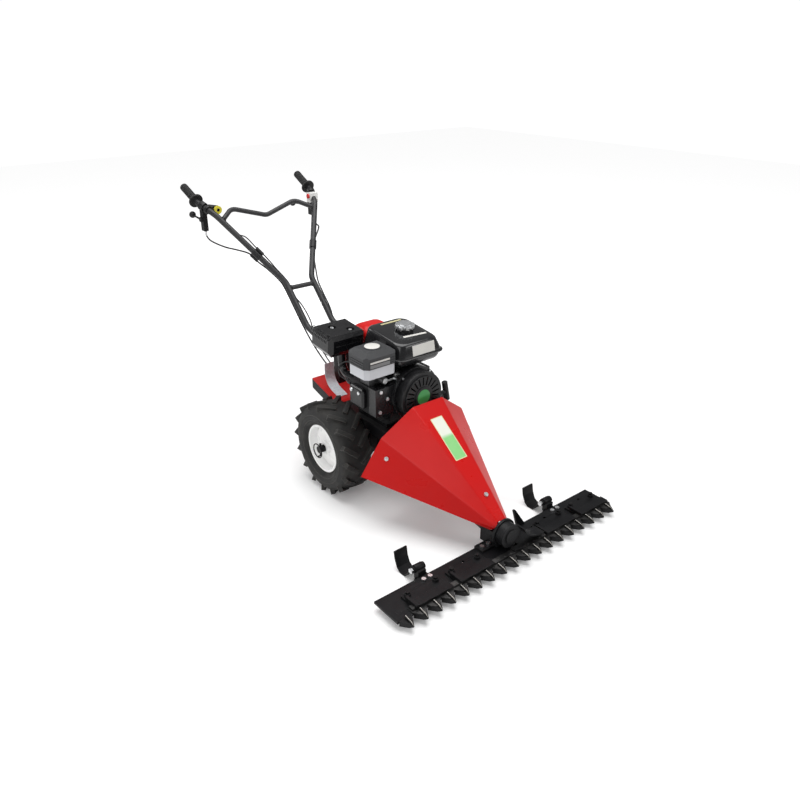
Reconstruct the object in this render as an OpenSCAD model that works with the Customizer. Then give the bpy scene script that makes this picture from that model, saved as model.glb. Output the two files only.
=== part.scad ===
// Sickle bar mower: a walk-behind motor scythe with a centre-driven cutter bar.
// +Z is up, the cutter bar leads towards -Y and +X is the operator's left.
// Lengths along the machine are measured rearwards from the finger tips.

/* [Cutter bar] */
// Number of fingers along the bar
finger_count = 18; // [12:2:22]
// Distance from finger to finger
finger_pitch = 50.8; // [48:0.2:54]
// Reach of the finger tips ahead of the bar
finger_reach = 36; // [34:0.5:40]
// Width of a finger's upper lip
finger_w = 7; // [5:0.5:9]
// Width of a finger's lower blade at the bar
finger_root_w = 44; // [40:0.5:46]
// Width of a finger's foot
finger_foot_w = 28; // [22:1:34]
// Thickness of a finger's foot
finger_foot_t = 10; // [8:0.5:12]
// Overhang of the bar past the last finger's half pitch
bar_end = 2.8; // [2:0.2:20]
// Width of the bar, front to back
bar_w = 106; // [104:1:112]
// Thickness of the bar
bar_t = 8; // [6:0.5:10]
// Height of the bar's top above the ground
bar_top = 30; // [28:0.5:34]
// Thread diameter of the finger bolts
finger_bolt_d = 8; // [6:1:10]
// Diameter of the spare holes in the bar
spare_hole_d = 11; // [8:0.5:13]
// Place of the first spare hole on the operator's left
spare_hole_x = 220; // [216:1:226]
// Distance between the two spare holes on the operator's left
spare_hole_step = 172.7; // [168:0.1:176]

/* [Knife] */
// Thickness of a knife section
section_t = 2.5; // [2:0.1:3]
// Width of a section's blunt front end
section_nose_w = 13; // [10:0.5:18]
// Width of the knife back
knife_w = 18; // [16:0.5:20]
// Thickness of the knife back
knife_t = 5.5; // [5:0.1:6]
// Running clearance of the knife
knife_gap = 0.3; // [0.3:0.05:0.4]
// Length of the rocker arm between its shaft and its ball
rocker_l = 60; // [58:0.5:62]
// Diameter of the rocker's ball end
rocker_ball_d = 16; // [14:0.5:17]
// Diameter of the rocker's shaft
rocker_shaft_d = 22; // [18:0.5:24]
// Length of a knife hold-down plate
hold_down_l = 140; // [120:1:150]

/* [Skids] */
// Distance of a skid from the middle of the bar
skid_x = 285; // [280:1:290]
// Width of a skid
skid_w = 48; // [44:1:54]
// Thickness of a skid
skid_t = 5; // [4:0.5:6]
// Height of a skid's pivot
skid_pivot_z = 44; // [43:0.5:46]
// Diameter of a skid's pivot bolt
skid_pin_d = 10; // [8:0.5:12]

/* [Drive and hood] */
// Diameter of the knife drive's barrel
barrel_d = 76; // [70:1:78]
// Height of the barrel's axis
barrel_z = 86; // [85:0.5:88]
// Diameter of the drive tube
drive_tube_d = 48; // [40:1:50]
// Thickness of the hood's sheet
hood_t = 2.5; // [2:0.1:3]
// Half width of the hood's top facet at the rear
hood_top_half = 62; // [58:1:66]
// Half width of the hood at its crease
hood_mid_half = 174; // [168:1:178]
// Half width of the hood at its rear lower corner
hood_low_half = 238; // [232:1:244]
// Height of the hood's top at the rear
hood_top_z = 388; // [382:1:392]
// Height of the hood's crease at the rear
hood_mid_z = 305; // [300:1:310]
// Height of the hood's rear lower corner
hood_low_z = 175; // [170:1:180]

/* [Wheels] */
// Outer diameter of a tyre over its lugs
tyre_d = 330; // [326:1:334]
// Width of a tyre
tyre_w = 124; // [118:1:128]
// Height of a lug
lug_h = 8; // [6:0.5:10]
// Number of lugs on each side of a tyre
lug_count = 16; // [12:1:18]
// Width of a lug
lug_w = 15; // [12:0.5:18]
// Distance between the wheels' centres
track = 356; // [352:1:364]
// Width of a rim
rim_w = 96; // [90:1:100]
// Diameter of a rim's flange
rim_d = 174; // [170:1:178]
// Diameter of the axle
axle_d = 25; // [20:0.5:28]
// Distance of the axle from the finger tips
axle_y = 752; // [748:1:756]

/* [Frame] */
// Half distance over the frame rails
rail_half = 100; // [98:0.5:102]
// Thickness of a rail
rail_t = 12; // [10:0.5:13]
// Height of a rail
rail_h = 35; // [30:1:40]
// Height of the engine bed's top
bed_z = 270; // [269:0.5:272]
// Thickness of the engine bed
bed_t = 4; // [3:0.5:5]
// Rise of the bed at its rear end
bed_rise = 42; // [36:1:46]

/* [Engine] */
// Place of the crankshaft across the machine
crank_x = 4; // [1:1:8]
// Height of the crankshaft above the bed
crank_h = 126; // [124:0.5:127]
// Diameter of the fan shroud
shroud_d = 184; // [182:0.5:186]
// Diameter of the recoil cover
recoil_d = 165; // [156:1:166]
// Depth of the recoil cover
recoil_depth = 40; // [36:1:42]
// Number of slots in the recoil cover
recoil_slots = 22; // [14:1:26]
// Height of the fuel tank
tank_h = 100; // [94:1:104]
// Fall of the tank's top towards the front
tank_fall = 20; // [14:1:24]
// Diameter of the fuel cap
cap_d = 66; // [56:1:70]
// Height of the air cleaner's lid
lid_h = 52; // [46:1:56]
// Height of the muffler
muffler_h = 76; // [70:1:82]
// Lean of the muffler, its rear end higher
muffler_lean = 6; // [3:0.5:7]

/* [Handlebar] */
// Diameter of the handlebar tube
tube_d = 22; // [20:0.5:23]
// Diameter of the braces between the tubes
brace_d = 18; // [14:0.5:19]
// Diameter of a grip
grip_d = 30; // [27:0.5:32]
// Diameter of a grip's guard disc
grip_disc_d = 54; // [46:1:56]
// Diameter of a lever's ball
lever_ball_d = 25; // [20:0.5:26]
// Diameter of the safety button
button_d = 30; // [26:0.5:31]
// Diameter of the control cables
cable_d = 5; // [4:0.5:6]

/* [Hidden] */
$fn = 48;

// Clearances: seats that touch, fasteners in their holes, and running fits
seat_gap = 0.05;
bolt_gap = 0.1;
run_gap = 0.05;
play = 0.5;

// Colours
black = [0.07, 0.07, 0.075];
dark = [0.16, 0.16, 0.17];
red = [0.74, 0.06, 0.06];
white = [0.92, 0.92, 0.9];
zinc = [0.76, 0.78, 0.8];
silver = [0.7, 0.71, 0.73];
yellow = [0.9, 0.82, 0.1];

// Cutter bar levels and edges
bar_l = finger_count * finger_pitch + 2 * bar_end;
bar_rear = finger_reach + bar_w;
bar_under = bar_top - bar_t;
foot_under = bar_under - finger_foot_t;
foot_l = 42;
finger_bolt_y = finger_reach + 31;
bolt_head_h = finger_bolt_d * 0.55;
nut_h = 6.5;
lip_h = 5.6;
section_under = bar_top + knife_gap;
section_top = section_under + section_t;
knife_top = section_top + knife_t;
knife_front = finger_reach + 6;
knife_rear = knife_front + knife_w;
section_front = 15;
// The knife rests at the left end of its stroke
knife_x = finger_pitch / 2;
function finger_x(i) = (i - (finger_count - 1) / 2) * finger_pitch;

// Hold-down plates, given by the place of their right-hand end
hold_down_x = [-392, -226, 144, 309];
hold_down_front = finger_reach + 4;
hold_down_rear = finger_reach + 72;
hold_down_bolt_y = finger_reach + 61;
hold_down_wall = knife_rear + 3;
hold_down_under = knife_top + play;
hold_down_top = hold_down_under + 4.7;
hold_down_seat_t = 6;
hold_down_boss_h = 15;
hold_down_boss_r = 10;
hold_down_bolt = [16, hold_down_l - 20];
black_bolt_d = 8;

// Knife drive
pivot_y = bar_rear - 11;
rocker_rest = asin(knife_x / rocker_l);
rocker_under = bar_top + 1.2;
rocker_top = bar_top + 8.2;
ball_r = rocker_ball_d / 2;
shaft_r = rocker_shaft_d / 2;
shaft_top = 76;
tunnel_half = 20;
case_half = 26;
case_under = bar_top + 9.2;
case_top = 84;
case_front = bar_rear - 50;
case_rear = bar_rear + 24;
housing_foot_half = 74;
housing_foot_t = 9;
housing_foot_front = bar_rear - 36;
housing_bolt_x = [34, 60];
housing_bolt_y = bar_rear - 20;
barrel_front = 62;
barrel_rear = 100;
prong_rear = pivot_y - 51;
zinc_bolt_d = 8;
zinc_head_d = 15;
zinc_head_h = 6;

// Skids
skid_pivot_y = bar_rear + 24;
skid_boss_r = 13;
skid_boss_w = 30;
skid_lug_t = 6;
skid_bolt_dx = 12;
skid_bolt_y = bar_rear - 17;
bracket_t = 8;
// Sole line of a skid, from its pivot end to its bent-up tip
skid_line = [[176, 34], [186, 14], [200, 0], [222, 0], [236, 10], [247, 34], [252, 62]];

// Drive tube between the housing and the gearbox
tube_front_z = 75;
tube_rear_z = 160;
gearbox_front = axle_y - 92;

// Hood corners: rear top, rear crease, rear low, nose top, nose crease, nose low, lower front
hood_nose_half = 15;
hood_crease_half = 30;
hood_rear_top = [hood_top_half, 459, hood_top_z];
hood_rear_mid = [hood_mid_half, 480, hood_mid_z];
hood_rear_low = [hood_low_half, 505, hood_low_z];
hood_nose_top = [hood_nose_half, 104, 123];
hood_upper_n = facet(hood_rear_top, hood_nose_top, hood_rear_mid);
hood_nose_mid = on_plane(hood_rear_top, hood_upper_n, hood_crease_half, 109);
hood_lower_n = facet(hood_rear_mid, hood_nose_mid, hood_rear_low);
hood_low_front = on_plane(hood_rear_mid, hood_lower_n, 64, 164);
hood_nose_low = [28, 123, 88];
hood_nose_n = facet(hood_nose_mid, hood_nose_low, hood_low_front);
hood_slope = (hood_top_z - hood_nose_top.z) / (hood_rear_top.y - hood_nose_top.y);
hood_top_n = unit([0, -hood_slope, 1]);
hood_bolt_d = 6;
hood_bolt_head_d = 14;
hood_bolt_head_h = 4;
nose_bolt = [0, 177, hood_nose_top.z + (177 - hood_nose_top.y) * hood_slope];
side_bolt = on_plane(hood_rear_mid, hood_lower_n, 177, 447);

// Frame and bed
rail_front = 452;
bed_front = 540;
bed_knee = 850;
bed_rear = 1000;
rail_top = bed_z - bed_t;
function bed_at(y) = bed_z + max(0, y - bed_knee) * bed_rise / (bed_rear - bed_knee);

// Wheels
axle_z = tyre_d / 2;
wheel_x = track / 2;
axle_r = axle_d / 2;
axle_half = wheel_x + 62;
hub_r = 24;
barrel_r = rim_d / 2 - 8;
pin_x = wheel_x + 54;
boss_half = 108;
// The gear case's round belly stays clear of the bed
gear_r = rail_top - axle_z - 27;

// Engine
crank_z = bed_z + crank_h;
recoil_front = 482;
shroud_front = recoil_front + recoil_depth;
shroud_rear = shroud_front + 44;
case_x = [crank_x - 72, crank_x + 96];
engine_rear = 742;
engine_top = bed_z + 182;
barrel_x = crank_x - 160;
head_t = 16;
cylinder_z = [bed_z + 82, bed_z + 176];
cylinder_rear = shroud_rear + 100;
cleaner_x = [-198, -72];
cleaner_y = [520, 625];
cleaner_under = cylinder_z[1] + 46;
lid_under = cleaner_under + 35;
lid_top = lid_under + lid_h;
tank_x = [-64, 124];
tank_y = [523, 733];
tank_top_x = [-58, 104];
tank_top_y = [531, 716];
tank_gap = 2;
tank_under = crank_z + shroud_d / 2 + tank_gap;
tank_top = tank_under + tank_h;
tank_seam = tank_under + 34;
cap_place = [38, 624];
collar_top = tank_top - 2;
muffler_x = [-177, -30];
muffler_y = [752, 876];
muffler_under = 485;
muffler_top = muffler_under + muffler_h;
muffler_seam = muffler_under + 34;
muffler_bolt_places = [[-120, 828], [-74, 786]];
pipe_x = -96;
choke_reach = 38;
choke_gap = 3.67;
choke_half = 3;
choke_z = cleaner_under - 30;
choke_rise = choke_z - choke_half - crank_z;
choke_place = [crank_x - sqrt(pow(shroud_d / 2 + choke_gap, 2) - pow(choke_rise, 2)) - choke_reach, choke_z];
pipe_z = 405;
guard_x = [-24, 92];
guard_y = [758, 848];
guard_top = 556;
shield_top = 378;
shield_r = 62;
// Pull rope: its direction, its offset from the crankshaft and its reach
rope_angle = 12;
rope_offset = 40;
rope_y = 502;
rope_r = 2;
rope_in = 60;
rope_out = 88;
recoil_wall = 4;

// Handlebar route on the operator's left; the right side is its mirror image
tube_r = tube_d / 2;
bend_r = 60;
handle_line = [
    [56, 935, 432], [56, 1085, 479], [57, 1222, 619], [216, 1424, 855], [246, 1510, 894], [251, 1608, 938]
];
grip_start = handle_line[4];
grip_end = handle_line[5];
grip_dir = unit(grip_end - grip_start);
grip_tip = 4;
grip_far = grip_end + grip_tip * grip_dir;
overall_l = grip_far.y + grip_d / 2 * sqrt(1 - grip_dir.y * grip_dir.y);
cross_point = between(handle_line[1], handle_line[2], 0.86);
brace_point = between(handle_line[2], handle_line[3], 0.92);
brace_peak = [138, 1455, 867];
brace_dip = [0, 1437, 828];
band_point = between(handle_line[2], handle_line[3], 0.42);
perch_point = between(handle_line[3], handle_line[4], 0.72);
button_point = between(handle_line[3], handle_line[4], 0.46);
switch_point = between(handle_line[3], handle_line[4], 0.3);
stop_r = 9;
perch_w = 18;
perch_drop = 91;
perch_under = perch_point.z - perch_drop;
clamp_wall = 6;
lever_pivot = [0, perch_point.y, 836];
lever_hub_r = 9;
lever_hub_w = 8;
ball_right = [-262, 1532, 848];
ball_left = [160, 1505, 846];
button_axis = [-195, 1447, 870];
button_travel = 5;
bracket_y = [handle_line[0].y - 5, handle_line[0].y + 27];
bracket_z = [416, 466];

// Cable bands: one eyelet below the tube, one above it
eyelet_offset = tube_r + 8;
eyelet_down = unit(down_of(unit(handle_line[3] - handle_line[2])));
eyelet_low = band_point + eyelet_offset * eyelet_down;
eyelet_high = band_point - eyelet_offset * eyelet_down;
band_dir = unit(handle_line[3] - handle_line[2]);
band_l = 34;

// A place beside a length of tube from a to b, turned round it by angle from its rear
cable_gap = tube_r + cable_d / 2 + 2;
function beside(a, b, t, angle) = let(
    d = unit(b - a), rear = unit([0, 1, 0] - d.y * d)
) between(a, b, t) + cable_gap * (cos(angle) * rear + sin(angle) * cross(d, rear));
function beside_upper(t, angle) = beside(handle_line[2], handle_line[3], t, angle);
function beside_lower(t, angle) = beside(handle_line[1], handle_line[2], t, angle);

// Cable routes
clutch_route = concat(
    [[-240, 1477, perch_under - seat_gap], [-240, 1477, perch_under - 16]],
    [[-230, 1460, perch_under - 36], [-200, 1414, 738], [-170, 1371, 730]],
    [flip(eyelet_low + 22 * band_dir), flip(eyelet_low - 22 * band_dir)],
    [flip(beside_upper(0.24, -40)), flip(beside_upper(0.08, -36)), flip(beside_lower(0.94, -32))],
    [flip(beside_lower(0.5, -28)), flip(beside_lower(0.12, -28)), [-54, 1062, 424], [-42, 1022, 376]],
    [[-31, 982, 335], [-30, 975, bed_at(975) + 1.4]]
);
button_route = concat(
    [[-195, 1473, 855.2], [-195, 1473, 846], [-186, 1440, 826], [-160, 1385, 788], [-139, 1354, 777]],
    [flip(eyelet_high + 22 * band_dir), flip(eyelet_high - 22 * band_dir)],
    [flip(beside_upper(0.28, 100)), flip(beside_upper(0.17, 62)), flip(beside_upper(0.03, 46))],
    [flip(beside_lower(0.97, 38)), flip(beside_lower(0.9, 26)), [-42, 1182, 566], [-36, 1155, 546]],
    [[-35, 1122, 522], [-34, 1097, 494], [-33, 1080, 458], [-28, 1015, 380]],
    [[-12, 985, 335], [-8, 978, bed_at(978) + 1.4]]
);
drive_route = concat(
    [[240, 1477, perch_under - seat_gap], [240, 1477, perch_under - 16]],
    [[228, 1440, perch_under - 30], [205, 1386, 762], [165, 1348, 738]],
    [eyelet_low + 22 * band_dir, eyelet_low - 22 * band_dir],
    [[108, 1276, 660], [92, 1242, 632], [76, 1205, 602], [75, 1170, 562], [74, 1120, 506]],
    [[56, 1066, 430], [34, 1025, 380], [18, 985, 335], [16, 976, bed_at(976) + 1.4]]
);
wire_route = [
    [45, 1136, 536], [28, 1118, 548], [0, 1092, 532], [-8, 1040, 512], [8, 960, 500], [22, 880, 484],
    [24, guard_y[1] + 10, 480], [24, guard_y[1] + seat_gap, 480]
];
spark_route = [
    [-150, cylinder_rear + seat_gap, 425], [-150, 700, 425], [-163, 716, 440], [-160, 726, 462],
    [-140, 728, 474], [-112, 716, 472], [-94, 704, 456], [-82, 700, 442], [case_x[0] - seat_gap, 700, 442]
];
wire_d = 2.4;
spark_d = 6;

// Vectors and planes
function unit(v) = v / norm(v);
function flip(p) = [-p.x, p.y, p.z];
function between(a, b, t) = a + t * (b - a);
function down_of(d) = [0, 0, -1] + d.z * d;
function facet(a, b, c) = let(n = unit(cross(b - a, c - a))) n.x < 0 ? -n : n;
function on_plane(p, n, x, y) = [x, y, p.z - (n.x * (x - p.x) + n.y * (y - p.y)) / n.z];
function mitre(a, b) = (a + b) / (1 + a * b);

// Draws in lengths measured from the finger tips
module machine() {
    translate([0, -overall_l / 2, 0]) children();
}

// Turns the children's +Z to point from a to b
module along(a, b) {
    d = unit(b - a);
    translate(a) rotate([0, acos(d.z), atan2(d.y, d.x)]) children();
}

module rod(a, b, r) {
    along(a, b) cylinder(h = norm(b - a), r = r);
}

// A side outline of (y, z) points, drawn w wide about x = 0
module side_plate(w, outline) {
    rotate([90, 0, 90]) linear_extrude(w, center = true) polygon(outline);
}

// A front outline of (x, z) points, drawn from y0 to y1
module front_plate(y0, y1, outline) {
    translate([0, y1, 0]) rotate([90, 0, 0]) linear_extrude(y1 - y0) polygon(outline);
}

module block(x, y, z) {
    translate([x[0], y[0], z[0]]) cube([x[1] - x[0], y[1] - y[0], z[1] - z[0]]);
}

// A rectangle whose corners are cut by c
function cut_corners(x, y, c) = [
    [x[0] + c, y[0]], [x[1] - c, y[0]], [x[1], y[0] + c], [x[1], y[1] - c],
    [x[1] - c, y[1]], [x[0] + c, y[1]], [x[0], y[1] - c], [x[0], y[0] + c]
];

// A rectangle whose upper part, h high, leans in to the shorter edge top
function lean_top(x, z, top, h) = [
    [x[0], z[0]], [x[1], z[0]], [x[1], z[1] - h], [top[1], z[1]], [top[0], z[1]], [x[0], z[1] - h]
];

// A box with upright edges cut by c, whose upper part, h high, leans in to the smaller top
module taper_box(x, y, z, c, top_x, top_y, h) {
    intersection() {
        translate([0, 0, z[0]]) linear_extrude(z[1] - z[0]) polygon(cut_corners(x, y, c));
        front_plate(y[0], y[1], lean_top(x, z, top_x, h));
        translate([(x[0] + x[1]) / 2, 0, 0]) side_plate(x[1] - x[0], lean_top(y, z, top_y, h));
    }
}

// A box with upright edges cut by c and top edges cut by t across and h down
module bevel_box(x, y, z, c, t, h) {
    taper_box(x, y, z, c, x + [t, -t], y + [t, -t], h);
}

// A round tube along points, with bends of radius bend
module bent_tube(points, r, bend) {
    last = len(points) - 1;
    turn = [for (i = [1:1:last - 1])
        acos(unit(points[i] - points[i - 1]) * unit(points[i + 1] - points[i]))];
    trim = concat([0], [for (t = turn) bend * tan(t / 2)], [0]);
    // The straight lengths reach a little into the bends, which are a hair thicker
    lap = concat([0], [for (t = turn) 1], [0]);
    for (i = [0:1:last - 1]) {
        u = unit(points[i + 1] - points[i]);
        rod(points[i] + u * (trim[i] - lap[i]), points[i + 1] - u * (trim[i + 1] - lap[i + 1]), r);
    }
    for (i = [1:1:last - 1]) {
        u = unit(points[i] - points[i - 1]);
        w = unit(points[i + 1] - points[i]);
        c = points[i] + unit(w - u) * bend / cos(turn[i - 1] / 2);
        ex = unit(points[i] - u * trim[i] - c);
        ez = unit(cross(u, w));
        multmatrix([
            [ex.x, u.x, ez.x, c.x], [ex.y, u.y, ez.y, c.y], [ex.z, u.z, ez.z, c.z], [0, 0, 0, 1]
        ]) rotate_extrude(angle = turn[i - 1]) translate([bend, 0]) circle(r + 0.12);
    }
}

// A cable: one faceted tube swept along its route, smoothed between the points
function curve(p, i, t) = let(
    a = p[max(i - 1, 0)], b = p[i], c = p[i + 1], d = p[min(i + 2, len(p) - 1)]
) 0.5 * (2 * b + (c - a) * t + (2 * a - 5 * b + 4 * c - d) * t * t + (3 * b - 3 * c + d - a) * t * t * t);
function route(p, steps) = concat(
    [for (i = [0:1:len(p) - 2], k = [0:1:steps - 1]) curve(p, i, k / steps)], [p[len(p) - 1]]
);
module cable(points, r, steps = 1, sides = 8) {
    path = route(points, steps);
    n = len(path);
    rings = [for (i = [0:1:n - 1]) let(
        t = unit(path[min(i + 1, n - 1)] - path[max(i - 1, 0)]),
        s = unit(cross(t, [1, 0.15, 0])),
        v = cross(t, s)
    ) for (k = [0:1:sides - 1]) path[i] + r * (cos(k * 360 / sides) * s + sin(k * 360 / sides) * v)];
    walls = [for (i = [0:1:n - 2], k = [0:1:sides - 1]) let(
        a = i * sides + k, b = i * sides + (k + 1) % sides
    ) each [[a, b + sides, b], [a, a + sides, b + sides]]];
    caps = [for (k = [1:1:sides - 2]) each [
        [0, k, k + 1], [(n - 1) * sides, (n - 1) * sides + k + 1, (n - 1) * sides + k]
    ]];
    polyhedron(rings, concat(walls, caps));
}

// A hex-headed bolt at the origin: head above z = 0, shank below
module hex_bolt(d, head_d, head_h, l) {
    cylinder(h = head_h, d = head_d, $fn = 6);
    translate([0, 0, -l]) cylinder(h = l + head_h / 2, d = d);
}

module hole(d, z0, z1) {
    translate([0, 0, z0]) cylinder(h = z1 - z0, d = d + 2 * bolt_gap);
}

module bar_plate() {
    color(black) machine() difference() {
        block([-bar_l / 2, bar_l / 2], [finger_reach, bar_rear], [bar_under, bar_top]);
        for (i = [0:1:finger_count - 1]) translate([finger_x(i), finger_bolt_y, 0]) {
            hole(finger_bolt_d, bar_under - 1, bar_top + 1);
            countersink(bolt_gap);
        }
        for (x = hold_down_x, dx = hold_down_bolt)
            translate([x + dx, hold_down_bolt_y, 0]) hole(black_bolt_d, bar_under - 1, bar_top + 1);
        for (s = [-1, 1]) {
            for (dx = [-skid_bolt_dx, skid_bolt_dx])
                translate([s * (skid_x - 5) + dx, skid_bolt_y, 0])
                    hole(zinc_bolt_d, bar_under - 1, bar_top + 1);
            for (x = housing_bolt_x)
                translate([s * x, housing_bolt_y, 0]) hole(zinc_bolt_d, bar_under - 1, bar_top + 1);
        }
        for (x = [-146, spare_hole_x, spare_hole_x + spare_hole_step])
            translate([x, finger_reach + 80, bar_under - 1]) cylinder(h = bar_t + 2, d = spare_hole_d);
    }
}

module countersink(gap) {
    translate([0, 0, bar_top - bolt_head_h]) cylinder(
        h = bolt_head_h, d1 = finger_bolt_d + 2 * gap, d2 = 2 * finger_bolt_d + 1 + 2 * gap
    );
}

// A finger: a pointed guard with a foot under the bar and a lip over the knife
module fingers() {
    lip = section_top + play;
    nose = 1.5;
    ledger = [
        [0, bar_top - 7.5], [0, bar_top - 3], [section_front - 1, bar_top], [finger_reach, bar_top],
        [finger_reach, bar_under], [finger_reach + foot_l, bar_under], [finger_reach + foot_l, foot_under],
        [finger_reach + 4, foot_under], [12, bar_top - 14]
    ];
    ridge = [
        [0, bar_top - 6], [0, bar_top - 3], [10, bar_top + 4.5], [finger_reach + 1, lip + lip_h],
        [finger_reach + 1, lip], [section_front - 1, lip], [section_front - 1, bar_top - 2]
    ];
    half = finger_w / 2;
    root = finger_root_w / 2;
    foot = finger_foot_w / 2;
    blade_plan = [
        [-nose, 0], [nose, 0], [root, finger_reach], [foot, finger_reach + 6],
        [foot, finger_reach + foot_l], [-foot, finger_reach + foot_l], [-foot, finger_reach + 6],
        [-root, finger_reach]
    ];
    lip_plan = [
        [-nose, 0], [nose, 0], [half, 10], [half, finger_reach + 2], [-half, finger_reach + 2], [-half, 10]
    ];
    color(black) machine() for (i = [0:1:finger_count - 1]) translate([finger_x(i), 0, 0]) difference() {
        union() {
            intersection() {
                side_plate(finger_root_w + 8, ledger);
                linear_extrude(bar_top + 20) polygon(blade_plan);
            }
            intersection() {
                side_plate(finger_w + 8, ridge);
                linear_extrude(bar_top + 20) polygon(lip_plan);
            }
        }
        translate([0, finger_bolt_y, 0]) hole(finger_bolt_d, foot_under - 1, bar_under + 1);
    }
}

// Countersunk finger bolts with their nuts, and the hold-downs' bolts
module bar_bolts() {
    color(black) machine() {
        for (i = [0:1:finger_count - 1]) translate([finger_x(i), finger_bolt_y, 0]) {
            countersink(0);
            translate([0, 0, foot_under - nut_h / 2]) cylinder(h = bar_top - foot_under, d = finger_bolt_d);
            translate([0, 0, foot_under - nut_h]) cylinder(h = nut_h, d = 2 * finger_bolt_d, $fn = 6);
        }
        for (x = hold_down_x, dx = hold_down_bolt)
            translate([x + dx, hold_down_bolt_y, bar_top + hold_down_boss_h])
                hex_bolt(black_bolt_d, 14, 6, hold_down_boss_h + bar_t);
    }
}

module knife_back() {
    half = (finger_count - 1) * finger_pitch / 2 - 4;
    color(dark) machine()
        block([knife_x - half, knife_x + half], [knife_front, knife_rear], [section_top, knife_top]);
}

module knife_sections() {
    half = finger_pitch / 2 - 0.2;
    nose = section_nose_w / 2;
    shape = [
        [-half, knife_rear], [-half, finger_reach + 2], [-nose, section_front], [nose, section_front],
        [half, finger_reach + 2], [half, knife_rear]
    ];
    color(dark) machine() for (i = [1:1:finger_count - 1])
        translate([finger_x(i), 0, section_under]) linear_extrude(section_t) polygon(shape);
}

// A plate on the knife back with two prongs that take the rocker's ball
module knife_head() {
    slot = ball_r + play + 0.1;
    prong = 8.4;
    color(black) machine() translate([knife_x, 0, 0]) {
        block([-24, 24], [knife_front, knife_rear], [knife_top, knife_top + 5]);
        for (s = [0, 1]) mirror([s, 0, 0]) {
            block([slot, slot + prong], [knife_front + 4, prong_rear], [knife_top, knife_top + 5]);
            block([slot, slot + prong], [knife_rear + 0.1, prong_rear], [bar_top + 1, knife_top + 5]);
        }
    }
}

// Stepped plates that hold the knife down, each with a raised rib at one end
module hold_downs() {
    outline = [
        [hold_down_rear, bar_top], [hold_down_rear, bar_top + hold_down_seat_t],
        [hold_down_wall + 9, bar_top + hold_down_seat_t], [hold_down_wall + 5, hold_down_top],
        [hold_down_front, hold_down_top], [hold_down_front, hold_down_under],
        [hold_down_wall, hold_down_under], [hold_down_wall, bar_top]
    ];
    color(black) machine() for (x = hold_down_x) difference() {
        union() {
            translate([x + hold_down_l / 2, 0, 0]) side_plate(hold_down_l, outline);
            block(
                [x, x + 9], [hold_down_front - 2, hold_down_rear - 20],
                [hold_down_under, hold_down_top + 5]
            );
            for (dx = hold_down_bolt) translate([x + dx, hold_down_bolt_y, bar_top])
                cylinder(h = hold_down_boss_h, r = hold_down_boss_r);
        }
        for (dx = hold_down_bolt)
            translate([x + dx, hold_down_bolt_y, 0]) hole(black_bolt_d, bar_top - 1, bar_top + 30);
    }
}

// Brackets under the bar's rear edge, each with a round boss for its skid
module skid_brackets() {
    color(black) machine() for (s = [0, 1]) mirror([s, 0, 0]) translate([skid_x - 5, 0, 0]) difference() {
        union() {
            block([-24, 24], [bar_rear - 34, bar_rear + 14], [bar_under - bracket_t, bar_under]);
            block(
                [-skid_boss_w / 2, skid_boss_w / 2], [bar_rear + 4, skid_pivot_y],
                [bar_under - bracket_t, skid_pivot_z]
            );
            translate([-skid_boss_w / 2, skid_pivot_y, skid_pivot_z])
                rotate([0, 90, 0]) cylinder(h = skid_boss_w, r = skid_boss_r);
        }
        translate([-skid_boss_w, skid_pivot_y, skid_pivot_z]) rotate([0, 90, 0])
            cylinder(h = 2 * skid_boss_w, d = skid_pin_d + 2 * bolt_gap);
        for (dx = [-skid_bolt_dx, skid_bolt_dx])
            translate([dx, skid_bolt_y, 0]) hole(zinc_bolt_d, bar_under - 20, bar_under + 1);
    }
}

// A curved strip that slides on the ground, hung on the bracket's boss by two ears
module skid(side) {
    upper = [for (i = [len(skid_line) - 1:-1:0]) let(
        a = skid_line[max(i - 1, 0)], b = skid_line[min(i + 1, len(skid_line) - 1)], d = unit(b - a)
    ) skid_line[i] + skid_t * [-d.y, d.x]];
    inner = skid_boss_w / 2 + play;
    color(black) machine() translate([side * (skid_x - 5), 0, 0]) difference() {
        union() {
            side_plate(skid_w, concat(skid_line, upper));
            for (s = [0, 1]) mirror([s, 0, 0]) {
                translate([inner, skid_pivot_y, skid_pivot_z])
                    rotate([0, 90, 0]) cylinder(h = skid_lug_t, r = skid_boss_r - 2);
                translate([inner + skid_lug_t / 2, 0, 0]) side_plate(skid_lug_t, [
                    [skid_pivot_y - 9, skid_pivot_z], [skid_pivot_y + 9, skid_pivot_z],
                    [192, 12], [188, 14], [178, 34]
                ]);
            }
        }
        translate([-skid_w, skid_pivot_y, skid_pivot_z]) rotate([0, 90, 0])
            cylinder(h = 2 * skid_w, d = skid_pin_d + 2 * run_gap);
    }
}

module skid_right() {
    skid(-1);
}

module skid_left() {
    skid(1);
}

// Zinc-plated bolts of the skids, their brackets and the knife drive
module zinc_bolts() {
    pin_l = skid_boss_w + 2 * (skid_lug_t + play) + 2;
    color(zinc) machine() {
        for (s = [-1, 1]) {
            for (dx = [-skid_bolt_dx, skid_bolt_dx])
                translate([s * (skid_x - 5) + dx, skid_bolt_y, bar_top])
                    hex_bolt(zinc_bolt_d, zinc_head_d, zinc_head_h, bar_t + bracket_t);
            for (x = housing_bolt_x)
                translate([s * x, housing_bolt_y, bar_top + housing_foot_t])
                    hex_bolt(zinc_bolt_d, zinc_head_d, zinc_head_h, housing_foot_t + bar_t);
            translate([s * (skid_x - 5) - pin_l / 2, skid_pivot_y, skid_pivot_z])
                rotate([0, -90, 0]) hex_bolt(skid_pin_d, 17, 7, pin_l);
        }
    }
}

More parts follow.
